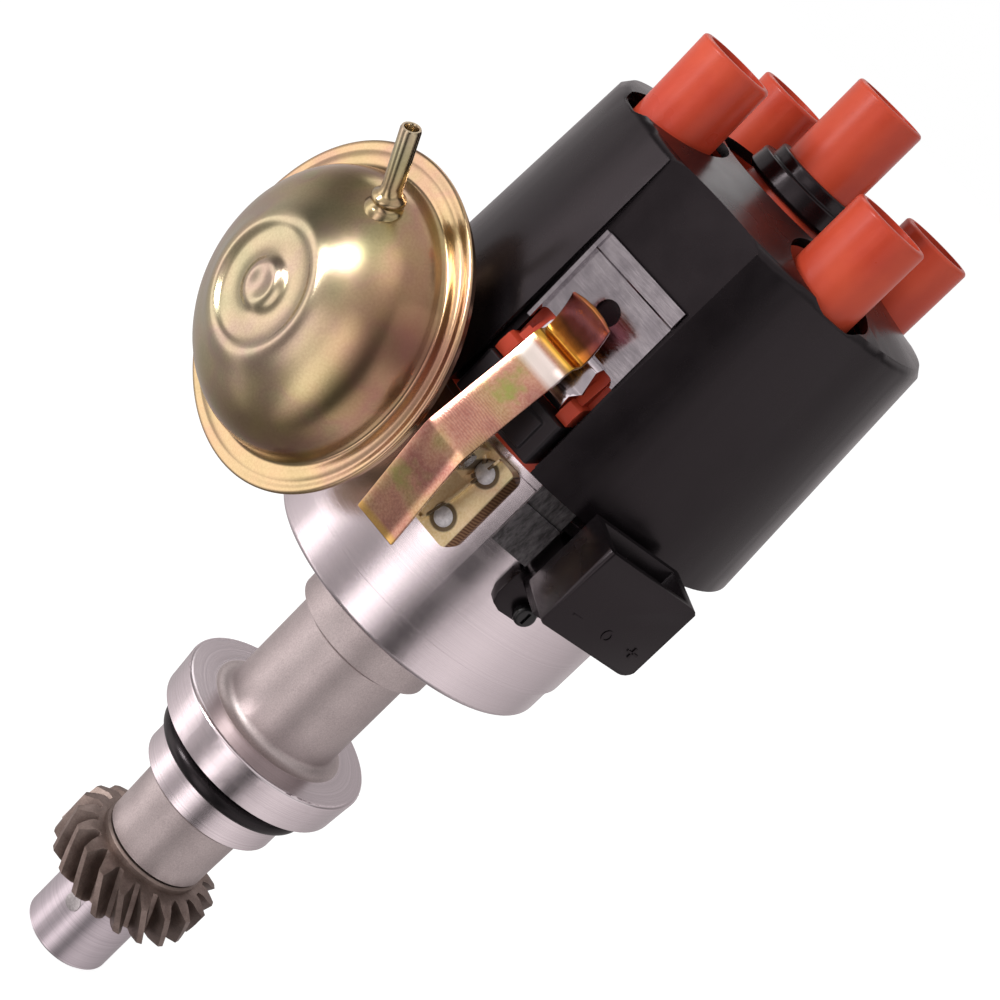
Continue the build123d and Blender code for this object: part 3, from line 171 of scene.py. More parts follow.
def cast_and_turned_aluminium():
    """Die-cast aluminium, turned on the bowl, collar and pilot.

    Turned faces are bright, with fine lines round the axis and wide soft bands. Cast ones are satin grey
    with a fine grain. Lines like these are some 0.1 mm apart, and drawn at 0.16 mm so as to show.
    """
    finish, tree, place = new_finish("cast and turned aluminium")
    radius, height = radius_height(tree, place)
    wide = add(tree, "MapRange", [radius, TURNED_R[0] * MM, TURNED_R[1] * MM, 0.0, 1.0])
    over_collar = add(tree, "MapRange", [height, COLLAR_TOP_Z * MM, (COLLAR_TOP_Z + 0.3) * MM, 0.0, 1.0])
    under_bowl = add(tree, "MapRange", [height, CAST_CONE_TOP_Z * MM, (CAST_CONE_TOP_Z + 1) * MM, 1.0, 0.0])
    cone = add(tree, "Math", [over_collar, under_bowl], operation="MULTIPLY")
    off_cone = add(tree, "Math", [1.0, cone], operation="SUBTRACT")
    turned = add(tree, "Math", [wide, off_cone], operation="MULTIPLY", use_clamp=True)
    rings = add(tree, "CombineXYZ", {"X": radius, "Z": height})
    lines = add(tree, "TexNoise", {"Vector": rings, "Scale": grains(0.16), "Detail": 4.0, "Roughness": 0.65})
    bands = add(tree, "TexNoise", {"Vector": rings, "Scale": grains(5.0), "Detail": 2.0})
    grain = add(tree, "TexNoise", {"Vector": place, "Scale": grains(0.30), "Detail": 3.0, "Roughness": 0.7})
    cloud = add(tree, "TexNoise", {"Vector": place, "Scale": grains(9.0), "Detail": 3.0})
    cast = add(tree, "ValToRGB", [grain], stops=[(0.30, "A59B9A"), (0.70, "CBC0BE")])
    stained = add(tree, "ValToRGB", [cloud], stops=[(0.35, "AFA5A4"), (0.7, "D0C6C4")])
    cast = add(tree, "Mix", {0: 0.35, 6: cast, 7: stained}, 2, data_type="RGBA")
    bright = add(tree, "ValToRGB", [lines], stops=[(0.25, "C9C0C3"), (0.75, "E6DDE0")])
    colour = add(tree, "Mix", {0: turned, 6: cast, 7: bright}, 2, data_type="RGBA")
    cast_rough = add(tree, "MapRange", [grain, 0.3, 0.7, 0.55, 0.42])
    turned_rough = add(tree, "MapRange", [bands, 0.35, 0.65, 0.17, 0.25])
    rough = add(tree, "Mix", {"Factor": turned, "A": cast_rough, "B": turned_rough})
    relief = add(tree, "Mix", {"Factor": turned, "A": grain, "B": lines})
    relief = add(tree, "Bump", {"Height": relief, "Strength": 0.5, "Distance": 0.035 * MM})
    skin = {"Base Color": colour, "Metallic": 1.0, "Roughness": rough, "Normal": relief}
    add(tree, "OutputMaterial", {"Surface": add(tree, "BsdfPrincipled", skin)})
    return finish


def phosphated_steel():
    """Steel, hobbed and phosphated: brown grey and satin on the teeth, bright turned lines on the hub.

    The phosphate's crystals are drawn at 0.45 mm, coarser than real ones, so as to show.
    """
    finish, tree, place = new_finish("phosphated and turned steel")
    radius, height = radius_height(tree, place)
    low = add(tree, "MapRange", [height, HUB_TOP_Z * MM, (HUB_TOP_Z - 0.8) * MM, 0.0, 1.0])
    slim = add(tree, "MapRange", [radius, HUB_R * MM, (HUB_R + 0.3) * MM, 1.0, 0.0])
    hub = add(tree, "Math", [low, slim], operation="MULTIPLY")
    grain = add(tree, "TexNoise", {"Vector": place, "Scale": grains(0.45), "Detail": 4.0, "Roughness": 0.7})
    cloud = add(tree, "TexNoise", {"Vector": place, "Scale": grains(4.0), "Detail": 3.0})
    speckled = add(tree, "ValToRGB", [grain], stops=[(0.3, "6A5C57"), (0.7, "94857E")])
    clouded = add(tree, "ValToRGB", [cloud], stops=[(0.3, "66574F"), (0.7, "9A8A82")])
    dark = add(tree, "Mix", {0: 0.5, 6: speckled, 7: clouded}, 2, data_type="RGBA")
    rings = add(tree, "CombineXYZ", {"X": radius, "Z": height})
    lines = add(tree, "TexNoise", {"Vector": rings, "Scale": grains(0.2), "Detail": 4.0, "Roughness": 0.65})
    bright = add(tree, "ValToRGB", [lines], stops=[(0.25, "AFA6AC"), (0.75, "D2C9CE")])
    colour = add(tree, "Mix", {0: hub, 6: dark, 7: bright}, 2, data_type="RGBA")
    rough = add(tree, "Mix", {"Factor": hub, "A": 0.46, "B": 0.30})
    relief = add(tree, "Mix", {"Factor": hub, "A": grain, "B": lines})
    relief = add(tree, "Bump", {"Height": relief, "Strength": 0.5, "Distance": 0.03 * MM})
    skin = {"Base Color": colour, "Metallic": 0.85, "Roughness": rough, "Normal": relief}
    add(tree, "OutputMaterial", {"Surface": add(tree, "BsdfPrincipled", skin)})
    return finish


# Thickness of the chromate film, from thin to thick, at which its colours follow each other
FILM_STEPS = (0.34, 0.43, 0.50, 0.57, 0.66)


def yellow_zinc(name, films, specks, satin, marks, metallic=1.0):
    """Zinc plate with a yellow chromate film, dipped: straw gold that drifts to pink and green.

    The film's colours change over 7 to 16 mm, and its specks are drawn at 0.5 mm so as to show.
    """
    finish, tree, place = new_finish(name)
    cloud = add(tree, "TexNoise", {"Vector": place, "Scale": grains(16.0), "Detail": 2.0, "Roughness": 0.45})
    drift = add(tree, "TexNoise", {"Vector": place, "Scale": grains(7.0), "Detail": 1.0})
    most = add(tree, "Math", [cloud, 0.7], operation="MULTIPLY")
    rest = add(tree, "Math", [drift, 0.3], operation="MULTIPLY")
    film = add(tree, "Math", [most, rest], operation="ADD")
    colour = add(tree, "ValToRGB", [film], stops=list(zip(FILM_STEPS, films)))
    speck = add(tree, "TexNoise", {"Vector": place, "Scale": grains(0.5), "Detail": 3.0})
    specked = add(tree, "ValToRGB", [speck], stops=list(zip((0.35, 0.65), specks)))
    colour = add(tree, "Mix", {0: 0.25, 6: colour, 7: specked}, 2, data_type="RGBA")
    colour, relief = marks(tree, place, colour)
    rough = add(tree, "MapRange", [cloud, 0.3, 0.7, *satin])
    grain = add(tree, "Bump", {"Height": speck, "Strength": 0.25, "Distance": 0.01 * MM})
    relief = {"Height": relief, "Strength": 0.5, "Distance": 0.02 * MM, "Normal": grain}
    relief = add(tree, "Bump", relief)
    skin = {"Base Color": colour, "Metallic": metallic, "Roughness": rough, "Normal": relief}
    add(tree, "OutputMaterial", {"Surface": add(tree, "BsdfPrincipled", skin)})
    return finish


# Marks, a painted highlight and painted reflections on the clips: heights in millimetres, with soft borders
CLIP_BLOOMS = (((0, 0, 116.4), "96AC50", 0.75), ((-2, 0, 91.0), "A8B060", 0.55))
RIPPLED_Z = (102.5, 105.0, 111.0, 114.0)
RIPPLE_PITCH = 0.5
# Painted highlight across the neck, just before the bend: where it fades in, is full, and fades out
NECK_HIGHLIGHT_Z = (120.6, 122.0, 124.4, 125.2)
TAIL_Z = (80.6, 79.6)
HOOK_FROM_Z = (125.2, 126.2)
HOOK_Z = (125.4, 137.4)
# Hook by height: its gold and orange film, a painted dark reflection across the middle and a painted pink
# highlight near the tip
HOOK_FILM_AND_REFLECTION_COLOURS = (
    (0.0, "C8A050"),
    (0.10, "D4A43C"),
    (0.26, "A4601C"),
    (0.44, "5E2E16"),
    (0.58, "8A4440"),
    (0.76, "CC868E"),
    (0.90, "B4665C"),
    (1.0, "A06A34"),
)


def clip_marks(tree, place, colour):
    """Green bloom and bending ripples on the leaf, a painted highlight at the neck, and a gold hook with a
    painted dark reflection and a painted pink highlight.
    """
    parts = add(tree, "SeparateXYZ", [place]).node.outputs
    height = parts["Z"]
    flat = add(tree, "CombineXYZ", {"X": parts["X"], "Z": height})
    patchy = add(tree, "TexNoise", {"Vector": place, "Scale": grains(2.2), "Detail": 3.0})
    wander = add(tree, "MapRange", [patchy, 0.3, 0.7, -1.4 * MM, 1.4 * MM])
    for middle, green, share in CLIP_BLOOMS:
        middle = [m * MM for m in middle]
        away = add(tree, "VectorMath", [flat, middle], "Value", operation="DISTANCE")
        away = add(tree, "Math", [away, wander], operation="ADD")
        bloom = add(tree, "MapRange", [away, 0.8 * MM, 3.8 * MM, share, 0.0])
        colour = add(tree, "Mix", {0: bloom, 6: colour, 7: green}, 2, data_type="RGBA")
    wavy = {"Vector": place, "Scale": waves(RIPPLE_PITCH), "Distortion": 7.0}
    wavy |= {"Detail": 2.0, "Detail Scale": 0.5}
    ripple = add(tree, "TexWave", wavy, "Fac", wave_type="BANDS", bands_direction="Z")
    ripple = add(tree, "Math", [ripple, between(tree, height, *RIPPLED_Z)], operation="MULTIPLY")
    stain = add(tree, "Math", [ripple, 0.32], operation="MULTIPLY")
    colour = add(tree, "Mix", {0: stain, 6: colour, 7: "8C4C50"}, 2, data_type="RGBA")
    # Painted highlight: near-white across the neck
    neck = add(tree, "Math", [between(tree, height, *NECK_HIGHLIGHT_Z), 0.85], operation="MULTIPLY")
    colour = add(tree, "Mix", {0: neck, 6: colour, 7: "FFF8F0"}, 2, data_type="RGBA")
    tail = add(tree, "MapRange", [height, TAIL_Z[0] * MM, TAIL_Z[1] * MM, 0.0, 0.7])
    colour = add(tree, "Mix", {0: tail, 6: colour, 7: "D8B45C"}, 2, data_type="RGBA")
    # Hook coloured by height: film colour, painted dark reflection and painted pink highlight
    uneven = add(tree, "Math", [wander, 0.3], operation="MULTIPLY")
    uneven = add(tree, "Math", [height, uneven], operation="ADD")
    along_hook = add(tree, "MapRange", [uneven, HOOK_Z[0] * MM, HOOK_Z[1] * MM, 0.0, 1.0])
    hook_film_and_reflections = add(tree, "ValToRGB", [along_hook], stops=HOOK_FILM_AND_REFLECTION_COLOURS)
    hook = add(tree, "MapRange", [height, HOOK_FROM_Z[0] * MM, HOOK_FROM_Z[1] * MM, 0.0, 0.95])
    return add(tree, "Mix", {0: hook, 6: colour, 7: hook_film_and_reflections}, 2, data_type="RGBA"), ripple


# Vacuum can: the way its nose points, a point of its axis, and the marks on its cover, in millimetres
CAN_WAY = Vector((-0.3867, -0.9222, 0.0))
CAN_AXIS_AT = Vector((-20.29, 8.51, 94.5))
CAN_OUT = (52.8, 72.6)
CAN_FLANGE_OUT = (55.2, 54.8)
CAN_BLUSH_AT = Vector((-19.0, -54.0, 107.0))
CAN_COLOURS = (
    (0.0, "C09A8C"),
    (0.1, "BCA47C"),
    (0.3, "A67C6C"),
    (0.6, "A6966E"),
    (0.85, "A49C84"),
    (1.0, "A49E92"),
)


def can_marks(tree, place, colour):
    """Grey on the nose, brown pink low on the dome, and fine spinning lines on the flange."""
    out = add(tree, "VectorMath", [place, list(CAN_WAY)], "Value", operation="DOT_PRODUCT")
    along = add(tree, "MapRange", [out, CAN_OUT[0] * MM, CAN_OUT[1] * MM, 0.0, 1.0])
    by_depth = add(tree, "ValToRGB", [along], stops=CAN_COLOURS)
    colour = add(tree, "Mix", {0: 0.55, 6: colour, 7: by_depth}, 2, data_type="RGBA")
    away = add(tree, "VectorMath", [place, list(CAN_BLUSH_AT * MM)], "Value", operation="DISTANCE")
    blush = add(tree, "MapRange", [away, 4 * MM, 20 * MM, 0.70, 0.0])
    colour = add(tree, "Mix", {0: blush, 6: colour, 7: "7C4A42"}, 2, data_type="RGBA")
    offset = add(tree, "VectorMath", [place, list(CAN_AXIS_AT * MM)], operation="SUBTRACT")
    across = add(tree, "VectorMath", [offset, list(CAN_WAY)], operation="CROSS_PRODUCT")
    radius = add(tree, "VectorMath", [across], "Value", operation="LENGTH")
    rings = add(tree, "CombineXYZ", [radius])
    lines = add(tree, "TexNoise", {"Vector": rings, "Scale": grains(0.7), "Detail": 3.0})
    flange = add(tree, "MapRange", [out, CAN_FLANGE_OUT[0] * MM, CAN_FLANGE_OUT[1] * MM, 0.0, 1.0])
    return colour, add(tree, "Math", [lines, flange], operation="MULTIPLY")


# Hinge brackets: rivets, the painted shade round them, and hatched sides, in millimetres
RIVET_X = 4.9
RIVET_ROWS = (85.6, 97.8)
# Painted shade, with some dark stain, in the countersink round each rivet: where it is full and where it
# ends
RIVET_SHADE_AND_STAIN_R = (2.8, 3.15)
HATCHED_SIDE_X = (9.2, 9.35)
HATCH_PITCH = 0.7


def bracket_marks(tree, place, colour):
    """Painted shade and dark stain in the countersinks round the rivets, and brown hatching on the sides."""
    parts = add(tree, "SeparateXYZ", [place]).node.outputs
    half = add(tree, "Math", [parts["X"]], operation="ABSOLUTE")
    # Brown hatching on the sides, beyond 9.2 mm from the middle
    wavy = {"Vector": place, "Scale": waves(HATCH_PITCH), "Distortion": 2.0, "Detail": 2.0}
    hatch = add(tree, "TexWave", wavy, "Fac", wave_type="BANDS", bands_direction="Z")
    hatched = add(tree, "ValToRGB", [hatch], stops=[(0.2, "5E3E28"), (0.9, "8E6848")])
    hatched_side = add(tree, "MapRange", [half, HATCHED_SIDE_X[0] * MM, HATCHED_SIDE_X[1] * MM, 0.0, 1.0])
    colour = add(tree, "Mix", {0: hatched_side, 6: colour, 7: hatched}, 2, data_type="RGBA")
    # Painted shade: a dark ring in the countersink round each rivet, with some stain
    sideways = add(tree, "Math", [half, RIVET_X * MM], operation="SUBTRACT")
    over = add(tree, "Math", [parts["Z"], sum(RIVET_ROWS) / 2 * MM], operation="SUBTRACT")
    over = add(tree, "Math", [over], operation="ABSOLUTE")
    over = add(tree, "Math", [over, (RIVET_ROWS[1] - RIVET_ROWS[0]) / 2 * MM], operation="SUBTRACT")
    flat = add(tree, "CombineXYZ", {"X": sideways, "Z": over})
    away = add(tree, "VectorMath", [flat], "Value", operation="LENGTH")
    stain = add(tree, "MapRange", [away, RIVET_SHADE_AND_STAIN_R[0] * MM, RIVET_SHADE_AND_STAIN_R[1] * MM, 0.85, 0.0])
    return add(tree, "Mix", {0: stain, 6: colour, 7: "3A2A1C"}, 2, data_type="RGBA"), stain


def bright_rolled_steel():
    """Stainless sheet, bright rolled: mirror-like, with long fine scratches and a few dull smears.

    Real scratches are a few hundredths wide, and drawn at 0.25 mm so as to show.
    """
    finish, tree, place = new_finish("bright rolled steel")
    drawn_out = add(tree, "Mapping", {"Vector": place, "Scale": [1 / 14.0, 1.0, 1.0]})
    fine = {"Vector": drawn_out, "Scale": grains(0.25), "Detail": 4.0, "Roughness": 0.7}
    scratches = add(tree, "TexNoise", fine)
    smear = add(tree, "TexNoise", {"Vector": place, "Scale": grains(4.0), "Detail": 2.0})
    colour = add(tree, "ValToRGB", [smear], stops=[(0.3, "A29DA2"), (0.7, "BDB8BC")])
    rough = add(tree, "MapRange", [scratches, 0.35, 0.75, 0.10, 0.26])
    relief = add(tree, "Bump", {"Height": scratches, "Strength": 0.4, "Distance": 0.012 * MM})
    skin = {"Base Color": colour, "Metallic": 1.0, "Roughness": rough, "Normal": relief}
    add(tree, "OutputMaterial", {"Surface": add(tree, "BsdfPrincipled", skin)})
    return finish


def plain_metal(name, dark, light, roughness, metallic=1.0):
    """Metal with a fine even grain, drawn at 0.6 mm so as to show, that dulls it a little in spots."""
    finish, tree, place = new_finish(name)
    grain = add(tree, "TexNoise", {"Vector": place, "Scale": grains(0.6), "Detail": 3.0})
    colour = add(tree, "ValToRGB", [grain], stops=[(0.3, dark), (0.7, light)])
    rough = add(tree, "MapRange", [grain, 0.3, 0.7, roughness - 0.04, roughness + 0.05])
    relief = add(tree, "Bump", {"Height": grain, "Strength": 0.3, "Distance": 0.01 * MM})
    skin = {"Base Color": colour, "Metallic": metallic, "Roughness": rough, "Normal": relief}
    add(tree, "OutputMaterial", {"Surface": add(tree, "BsdfPrincipled", skin)})
    return finish


def moulding(name, dark, light, roughness, skin_mm=0.8, depth_mm=0.012):
    """Moulded plastic or rubber: an even colour, faint clouds over 12 mm, and the mould's fine skin."""
    finish, tree, place = new_finish(name)
    cloud = add(tree, "TexNoise", {"Vector": place, "Scale": grains(12.0), "Detail": 3.0})
    texture = add(tree, "TexNoise", {"Vector": place, "Scale": grains(skin_mm), "Detail": 3.0})
    colour = add(tree, "ValToRGB", [cloud], stops=[(0.3, dark), (0.7, light)])
    rough = add(tree, "MapRange", [cloud, 0.3, 0.7, roughness - 0.04, roughness + 0.06])
    relief = add(tree, "Bump", {"Height": texture, "Strength": 0.35, "Distance": depth_mm * MM})
    gloss = {"IOR": 1.46, "Specular IOR Level": 0.36, "Specular Tint": "F6E8EE"}
    skin = {"Base Color": colour, "Roughness": rough, "Normal": relief, **gloss}
    add(tree, "OutputMaterial", {"Surface": add(tree, "BsdfPrincipled", skin)})
    return finish


def vulcanised_rubber():
    """Black rubber, pressed and cured: matt, scuffed to grey in upright streaks about 1 mm wide."""
    finish, tree, place = new_finish("vulcanised rubber")
    upright = add(tree, "Mapping", {"Vector": place, "Scale": [1.0, 1.0, 1 / 3.5]})
    streaks = {"Vector": upright, "Scale": grains(0.9), "Detail": 5.0, "Roughness": 0.72}
    scuffs = add(tree, "TexNoise", streaks)
    colour = add(tree, "ValToRGB", [scuffs], stops=[(0.38, "292426"), (0.68, "706A6C")])
    relief = add(tree, "Bump", {"Height": scuffs, "Strength": 0.6, "Distance": 0.08 * MM})
    skin = {"Base Color": colour, "Roughness": 0.52, "Normal": relief}
    add(tree, "OutputMaterial", {"Surface": add(tree, "BsdfPrincipled", skin)})
    return finish


ALUMINIUM = cast_and_turned_aluminium()
GEAR_STEEL = phosphated_steel()
# On the can: satin, straw to olive and grey, pinker low on the dome
CAN_ZINC = yellow_zinc(
    "yellow chromated zinc on the can",
    ("9C9C64", "B8AC78", "C2A87C", "B89080", "A8A878"),
    ("98824A", "D2C292"),
    (0.17, 0.25),
    can_marks,
)
# On the clips: glossier, rose and green over tempered steel
CLIP_ZINC = yellow_zinc(
    "yellow chromated zinc on spring steel",
    ("98A45C", "C4A478", "CE9482", "B47070", "A4B068"),
    ("A88658", "E0CCA4"),
    (0.15, 0.24),
    clip_marks,
)
# On the brackets: a thin pale film, nearly cream
BRACKET_ZINC = yellow_zinc(
    "yellow chromated zinc on the bracket",
    ("E0C48C", "F0D8A4", "F4D8AC", "E8C49C", "DED49C"),
    ("CCAE7C", "F8ECD4"),
    (0.32, 0.42),
    bracket_marks,
    metallic=0.55,
)
BRIGHT_STEEL = bright_rolled_steel()
# Cold rolled sheet: an even dull grey
SHEET_STEEL = plain_metal("cold rolled steel", "8A8A88", "A8A8A6", 0.38)
# Rivet heads, tumbled after heading: pale and satin, with soft highlights
RIVET_STEEL = plain_metal("tumbled steel", "C4C0C2", "E2DFE0", 0.46, metallic=0.55)
# Oil-blackened screw: black, with small glints on its edges
SCREW_STEEL = plain_metal("blackened steel", "0A0A0B", "161617", 0.30, metallic=0.2)
# Pin cropped from bar: plain grey, and a little dull
PIN_STEEL = plain_metal("cropped steel pin", "A6A2A2", "C6C2C2", 0.42)
# Ground shaft: bright and smooth
TURNED_STEEL = plain_metal("ground steel", "A6A6A5", "C8C8C8", 0.26)
# Sintered bushes: brown gold and dull, and the grain stands for their pores
BRONZE = plain_metal("sintered bronze", "8A6038", "B08050", 0.42)
# Drawn brass terminals: yellow and bright
BRASS = plain_metal("drawn brass", "B08C4C", "D0AE6A", 0.28)
# Phenolic cap, compression moulded: coral red with a low gloss
RED_PLASTIC = moulding("red phenolic moulding", "CC4630", "DA563A", 0.30)
# Nylon shroud and connector, injection moulded: warm black with a clear sheen
BLACK_PLASTIC = moulding("black nylon moulding", "0B080A", "141012", 0.25)
# The same nylon where fingers and tools rub it: greyer and duller
RUBBED_PLASTIC = moulding("rubbed nylon moulding", "1E1B1D", "2C292B", 0.36, skin_mm=0.5, depth_mm=0.03)
# Phenolic rotor and dust cover: dark brown and satin
BROWN_PLASTIC = moulding("brown phenolic moulding", "3A1E12", "4E2A1A", 0.45)
RUBBER = vulcanised_rubber()
# O-ring, moulded and oiled: smooth and black, with one soft highlight round it
OILED_RUBBER = moulding("oiled nitrile rubber", "0E0D0E", "1B191A", 0.28, skin_mm=1.2, depth_mm=0.02)
# Pressed carbon brush: matt black
CARBON = moulding("pressed carbon", "18181A", "26262A", 0.55)

FINISH_OF_SLOT = {
    "cast_aluminium": ALUMINIUM,
    "turned_steel": TURNED_STEEL,
    "phosphated_steel": GEAR_STEEL,
    "sheet_steel": SHEET_STEEL,
    "polished_steel": BRIGHT_STEEL,
    "gold_zinc": CAN_ZINC,
    "bronze": BRONZE,
    "brass": BRASS,
    "red_plastic": RED_PLASTIC,
    "black_plastic": BLACK_PLASTIC,
    "brown_plastic": BROWN_PLASTIC,
    "rubber": RUBBER,
    "carbon": CARBON,
}
FINISH_OF_NODE = {
    "clip_bracket_front": BRACKET_ZINC,
    "clip_bracket_rear": BRACKET_ZINC,
    "clip_rivets": RIVET_STEEL,
    "connector_screw": SCREW_STEEL,
    "locating_blocks": RUBBED_PLASTIC,
    "o_ring": OILED_RUBBER,
}
SLOT_OF_NODE = {part["node"]: part["material_slot"] for part in frame["record"]["subparts"]}
BODY_OF_NODE = {
    node: body for body, held in frame["record"]["behaviour"]["bodies"].items() for node in held
}


def dress(piece, finish):
    piece.data.materials.clear()
    piece.data.materials.append(finish)


for node, slot in SLOT_OF_NODE.items():
    dress(nodes[node], FINISH_OF_NODE.get(node, FINISH_OF_SLOT[slot]))


def deselect():
    bpy.ops.object.select_all(action="DESELECT")


def take(piece):
    """Selects one piece and nothing else, and makes it the active one."""
    deselect()
    bpy.context.view_layer.objects.active = piece
    piece.select_set(True)


def open_mesh(piece):
    """Goes into edit mode on one piece, with nothing selected."""
    take(piece)
    bpy.ops.object.mode_set(mode="EDIT")
    bpy.ops.mesh.select_all(action="DESELECT")


def close_mesh():
    bpy.ops.object.mode_set(mode="OBJECT")


def pick(piece, kind, test):
    """Selects the vertices, edges or faces that pass a test, and nothing else."""
    mesh = bmesh.from_edit_mesh(piece.data)
    bpy.context.tool_settings.mesh_select_mode = (kind == "verts", kind == "edges", kind == "faces")
    for group in (mesh.verts, mesh.edges, mesh.faces):
        for item in group:
            item.select_set(False)
    for item in getattr(mesh, kind):
        if test(item):
            item.select_set(True)
    bmesh.update_edit_mesh(piece.data)


def finish_modifier(piece, kind, **settings):
    """Adds a modifier with its settings and applies it."""
    take(piece)
    made = piece.modifiers.new(kind.lower(), kind)
    for name, value in settings.items():
        setattr(made, name, value)
    bpy.ops.object.modifier_apply(modifier=made.name)


def break_edges(piece, width, degrees=50):
    """Rounds the edges that are sharper than an angle, by a width in millimetres."""
    finish_modifier(
        piece,
        "BEVEL",
        width=width * MM,
        segments=2,
        limit_method="ANGLE",
        angle_limit=math.radians(degrees),
    )


def smooth(piece, degrees=32):
    take(piece)
    bpy.ops.object.shade_smooth_by_angle(angle=math.radians(degrees))


def own_copy(piece):
    """Copy of a piece with its own mesh."""
    twin = piece.copy()
    twin.data = piece.data.copy()
    bpy.context.scene.collection.objects.link(twin)
    return twin


def join(first, *others):
    """One piece out of several; the first one keeps its name."""
    deselect()
    for piece in (first, *others):
        piece.select_set(True)
    bpy.context.view_layer.objects.active = first
    bpy.ops.object.join()
    return first


def settle(piece, name, body, slot, finish=None, stands_for=()):
    """Names a finished piece, dresses it and says what carries it and what it stands for."""
    piece.name = name
    piece.data.name = name
    dress(piece, finish or FINISH_OF_SLOT[slot])
    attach(piece, body)
    if stands_for:
        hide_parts(*stands_for)


# Sheet, cast and moulded pieces whose edges are broken: rounding in millimetres
EASED_EDGES = {
    "housing": 0.35,
    "cap_shroud": 0.7,
    "distributor_cap": 0.4,
    "centre_tower_ring": 0.35,
    "wire_grommet": 0.4,
    "locating_blocks": 0.35,
    "drive_gear": 0.22,
    "clip_plate_front": 0.28,
    "clip_plate_rear": 0.28,
    "clip_bracket_front": 0.25,
    "clip_bracket_rear": 0.25,
    "rotor_arm": 0.4,
}


def ease(node, width):
    """Copy of a solid with its sharp edges rounded, as deburring or a mould's radius leaves them."""
    piece = own_copy(nodes[node])
    open_mesh(piece)
    bpy.ops.mesh.select_all(action="SELECT")
    bpy.ops.mesh.remove_doubles(threshold=0.002 * MM)
    bpy.ops.mesh.dissolve_limited(angle_limit=math.radians(0.6))
    close_mesh()
    finish_modifier(
        piece,
        "BEVEL",
        width=width * MM,
        segments=2,
        limit_method="ANGLE",
        angle_limit=math.radians(40),
        use_clamp_overlap=True,
        miter_outer="MITER_ARC",
        loop_slide=False,
        harden_normals=False,
    )
    smooth(piece, 35)
    finish_modifier(piece, "WEIGHTED_NORMAL", keep_sharp=True, weight=80)
    settle(piece, node + "_eased", BODY_OF_NODE[node], SLOT_OF_NODE[node], FINISH_OF_NODE.get(node), (node,))


def spun(profile, steps=96):
    """Hollow or solid of revolution about Z: a first edge is drawn out along the profile, then spun."""
    (r0, z0), (r1, z1) = profile[:2]
    bpy.ops.mesh.primitive_plane_add(size=2 * MM)
    piece = bpy.context.object
    open_mesh(piece)
    pick(piece, "verts", lambda v: v.co.y > 0)
    bpy.ops.mesh.delete(type="VERT")
    pick(piece, "verts", lambda v: v.co.x < 0)
    bpy.ops.transform.translate(value=((r0 + 1) * MM, MM, z0 * MM))
    pick(piece, "verts", lambda v: v.co.y < -0.5 * MM)
    bpy.ops.transform.translate(value=((r1 - 1) * MM, MM, z1 * MM))
    last = (r1, z1)
    for r, z in profile[2:]:
        step = ((r - last[0]) * MM, 0, (z - last[1]) * MM)
        bpy.ops.mesh.extrude_vertices_move(TRANSFORM_OT_translate={"value": step})
        last = (r, z)
    bpy.ops.mesh.select_all(action="SELECT")
    bpy.ops.mesh.spin(steps=steps, angle=math.tau, center=(0, 0, 0), axis=(0, 0, 1))
    bpy.ops.mesh.select_all(action="SELECT")
    bpy.ops.mesh.remove_doubles(threshold=0.005 * MM)
    bpy.ops.mesh.normals_make_consistent(inside=False)
    close_mesh()
    return piece


def facing_way(way):
    """Turn that lays a piece's Z axis along a direction, with its X axis level."""
    level = Vector((0, 0, 1)).cross(way)
    level = level.normalized() if level.length > 0.001 else Vector((1, 0, 0))
    return Matrix((level, way.cross(level), way)).transposed().to_4x4()


# The can's pressed cover: radius, and distance out along the can's axis, in millimetres
COVER_OUTLINE = (
    (35.4, 52.85),
    (36.5, 52.95),
    (36.95, 53.4),
    (36.8, 53.95),
    (36.2, 54.15),
    (35.6, 54.1),
    (35.0, 54.0),
    (34.5, 54.0),
    (34.0, 54.2),
    (33.2, 54.3),
    (32.2, 54.25),
    (31.5, 54.2),
    (31.0, 54.4),
    (30.55, 55.2),
    (30.2, 57.4),
    (29.3, 60.3),
    (27.3, 63.4),
    (24.4, 66.2),
    (21.2, 68.3),
    (18.4, 69.8),
    (16.4, 71.0),
    (15.0, 71.8),
    (13.8, 72.2),
    (12.7, 72.1),
    (11.9, 71.6),
    (11.0, 71.3),
    (8.5, 71.2),
    (6.6, 71.3),
    (5.6, 71.7),
    (4.6, 72.5),
    (3.6, 72.8),
    (2.6, 72.6),
    (1.4, 72.3),
    (0.0, 72.2),
)
COVER_SHEET = 0.7


def vacuum_cover():
    """Deep-drawn cover with a rolled rim, a step, a raised ring on its nose and a round boss."""
    piece = spun(COVER_OUTLINE)
    finish_modifier(piece, "SUBSURF", levels=1, render_levels=1)
    finish_modifier(piece, "SOLIDIFY", thickness=COVER_SHEET * MM, offset=-1.0)
    smooth(piece, 50)
    piece.data.transform(Matrix.Translation(CAN_AXIS_AT * MM) @ facing_way(CAN_WAY))
    settle(piece, "can_cover_pressing", "body", "gold_zinc", stands_for=("vacuum_cover",))


# Hose nipple: radius and height over its seat on the dome, in millimetres
NIPPLE_OUTLINE = (
    (4.3, -1.2),
    (4.2, -0.2),
    (3.5, 0.5),
    (3.1, 1.1),
    (3.2, 1.6),
    (3.5, 2.1),
    (3.3, 2.7),
    (2.6, 3.1),
    (2.2, 3.9),
    (2.1, 5.2),
    (2.1, 17.6),
    (1.9, 18.1),
    (1.5, 18.1),
    (1.3, 17.7),
    (1.3, 9.0),
    (0.0, 9.0),
)
NIPPLE_AT = Vector((-42.78, -50.81, 120.9))
NIPPLE_WAY = Vector((-0.1875, -0.4471, 0.8746)).normalized()


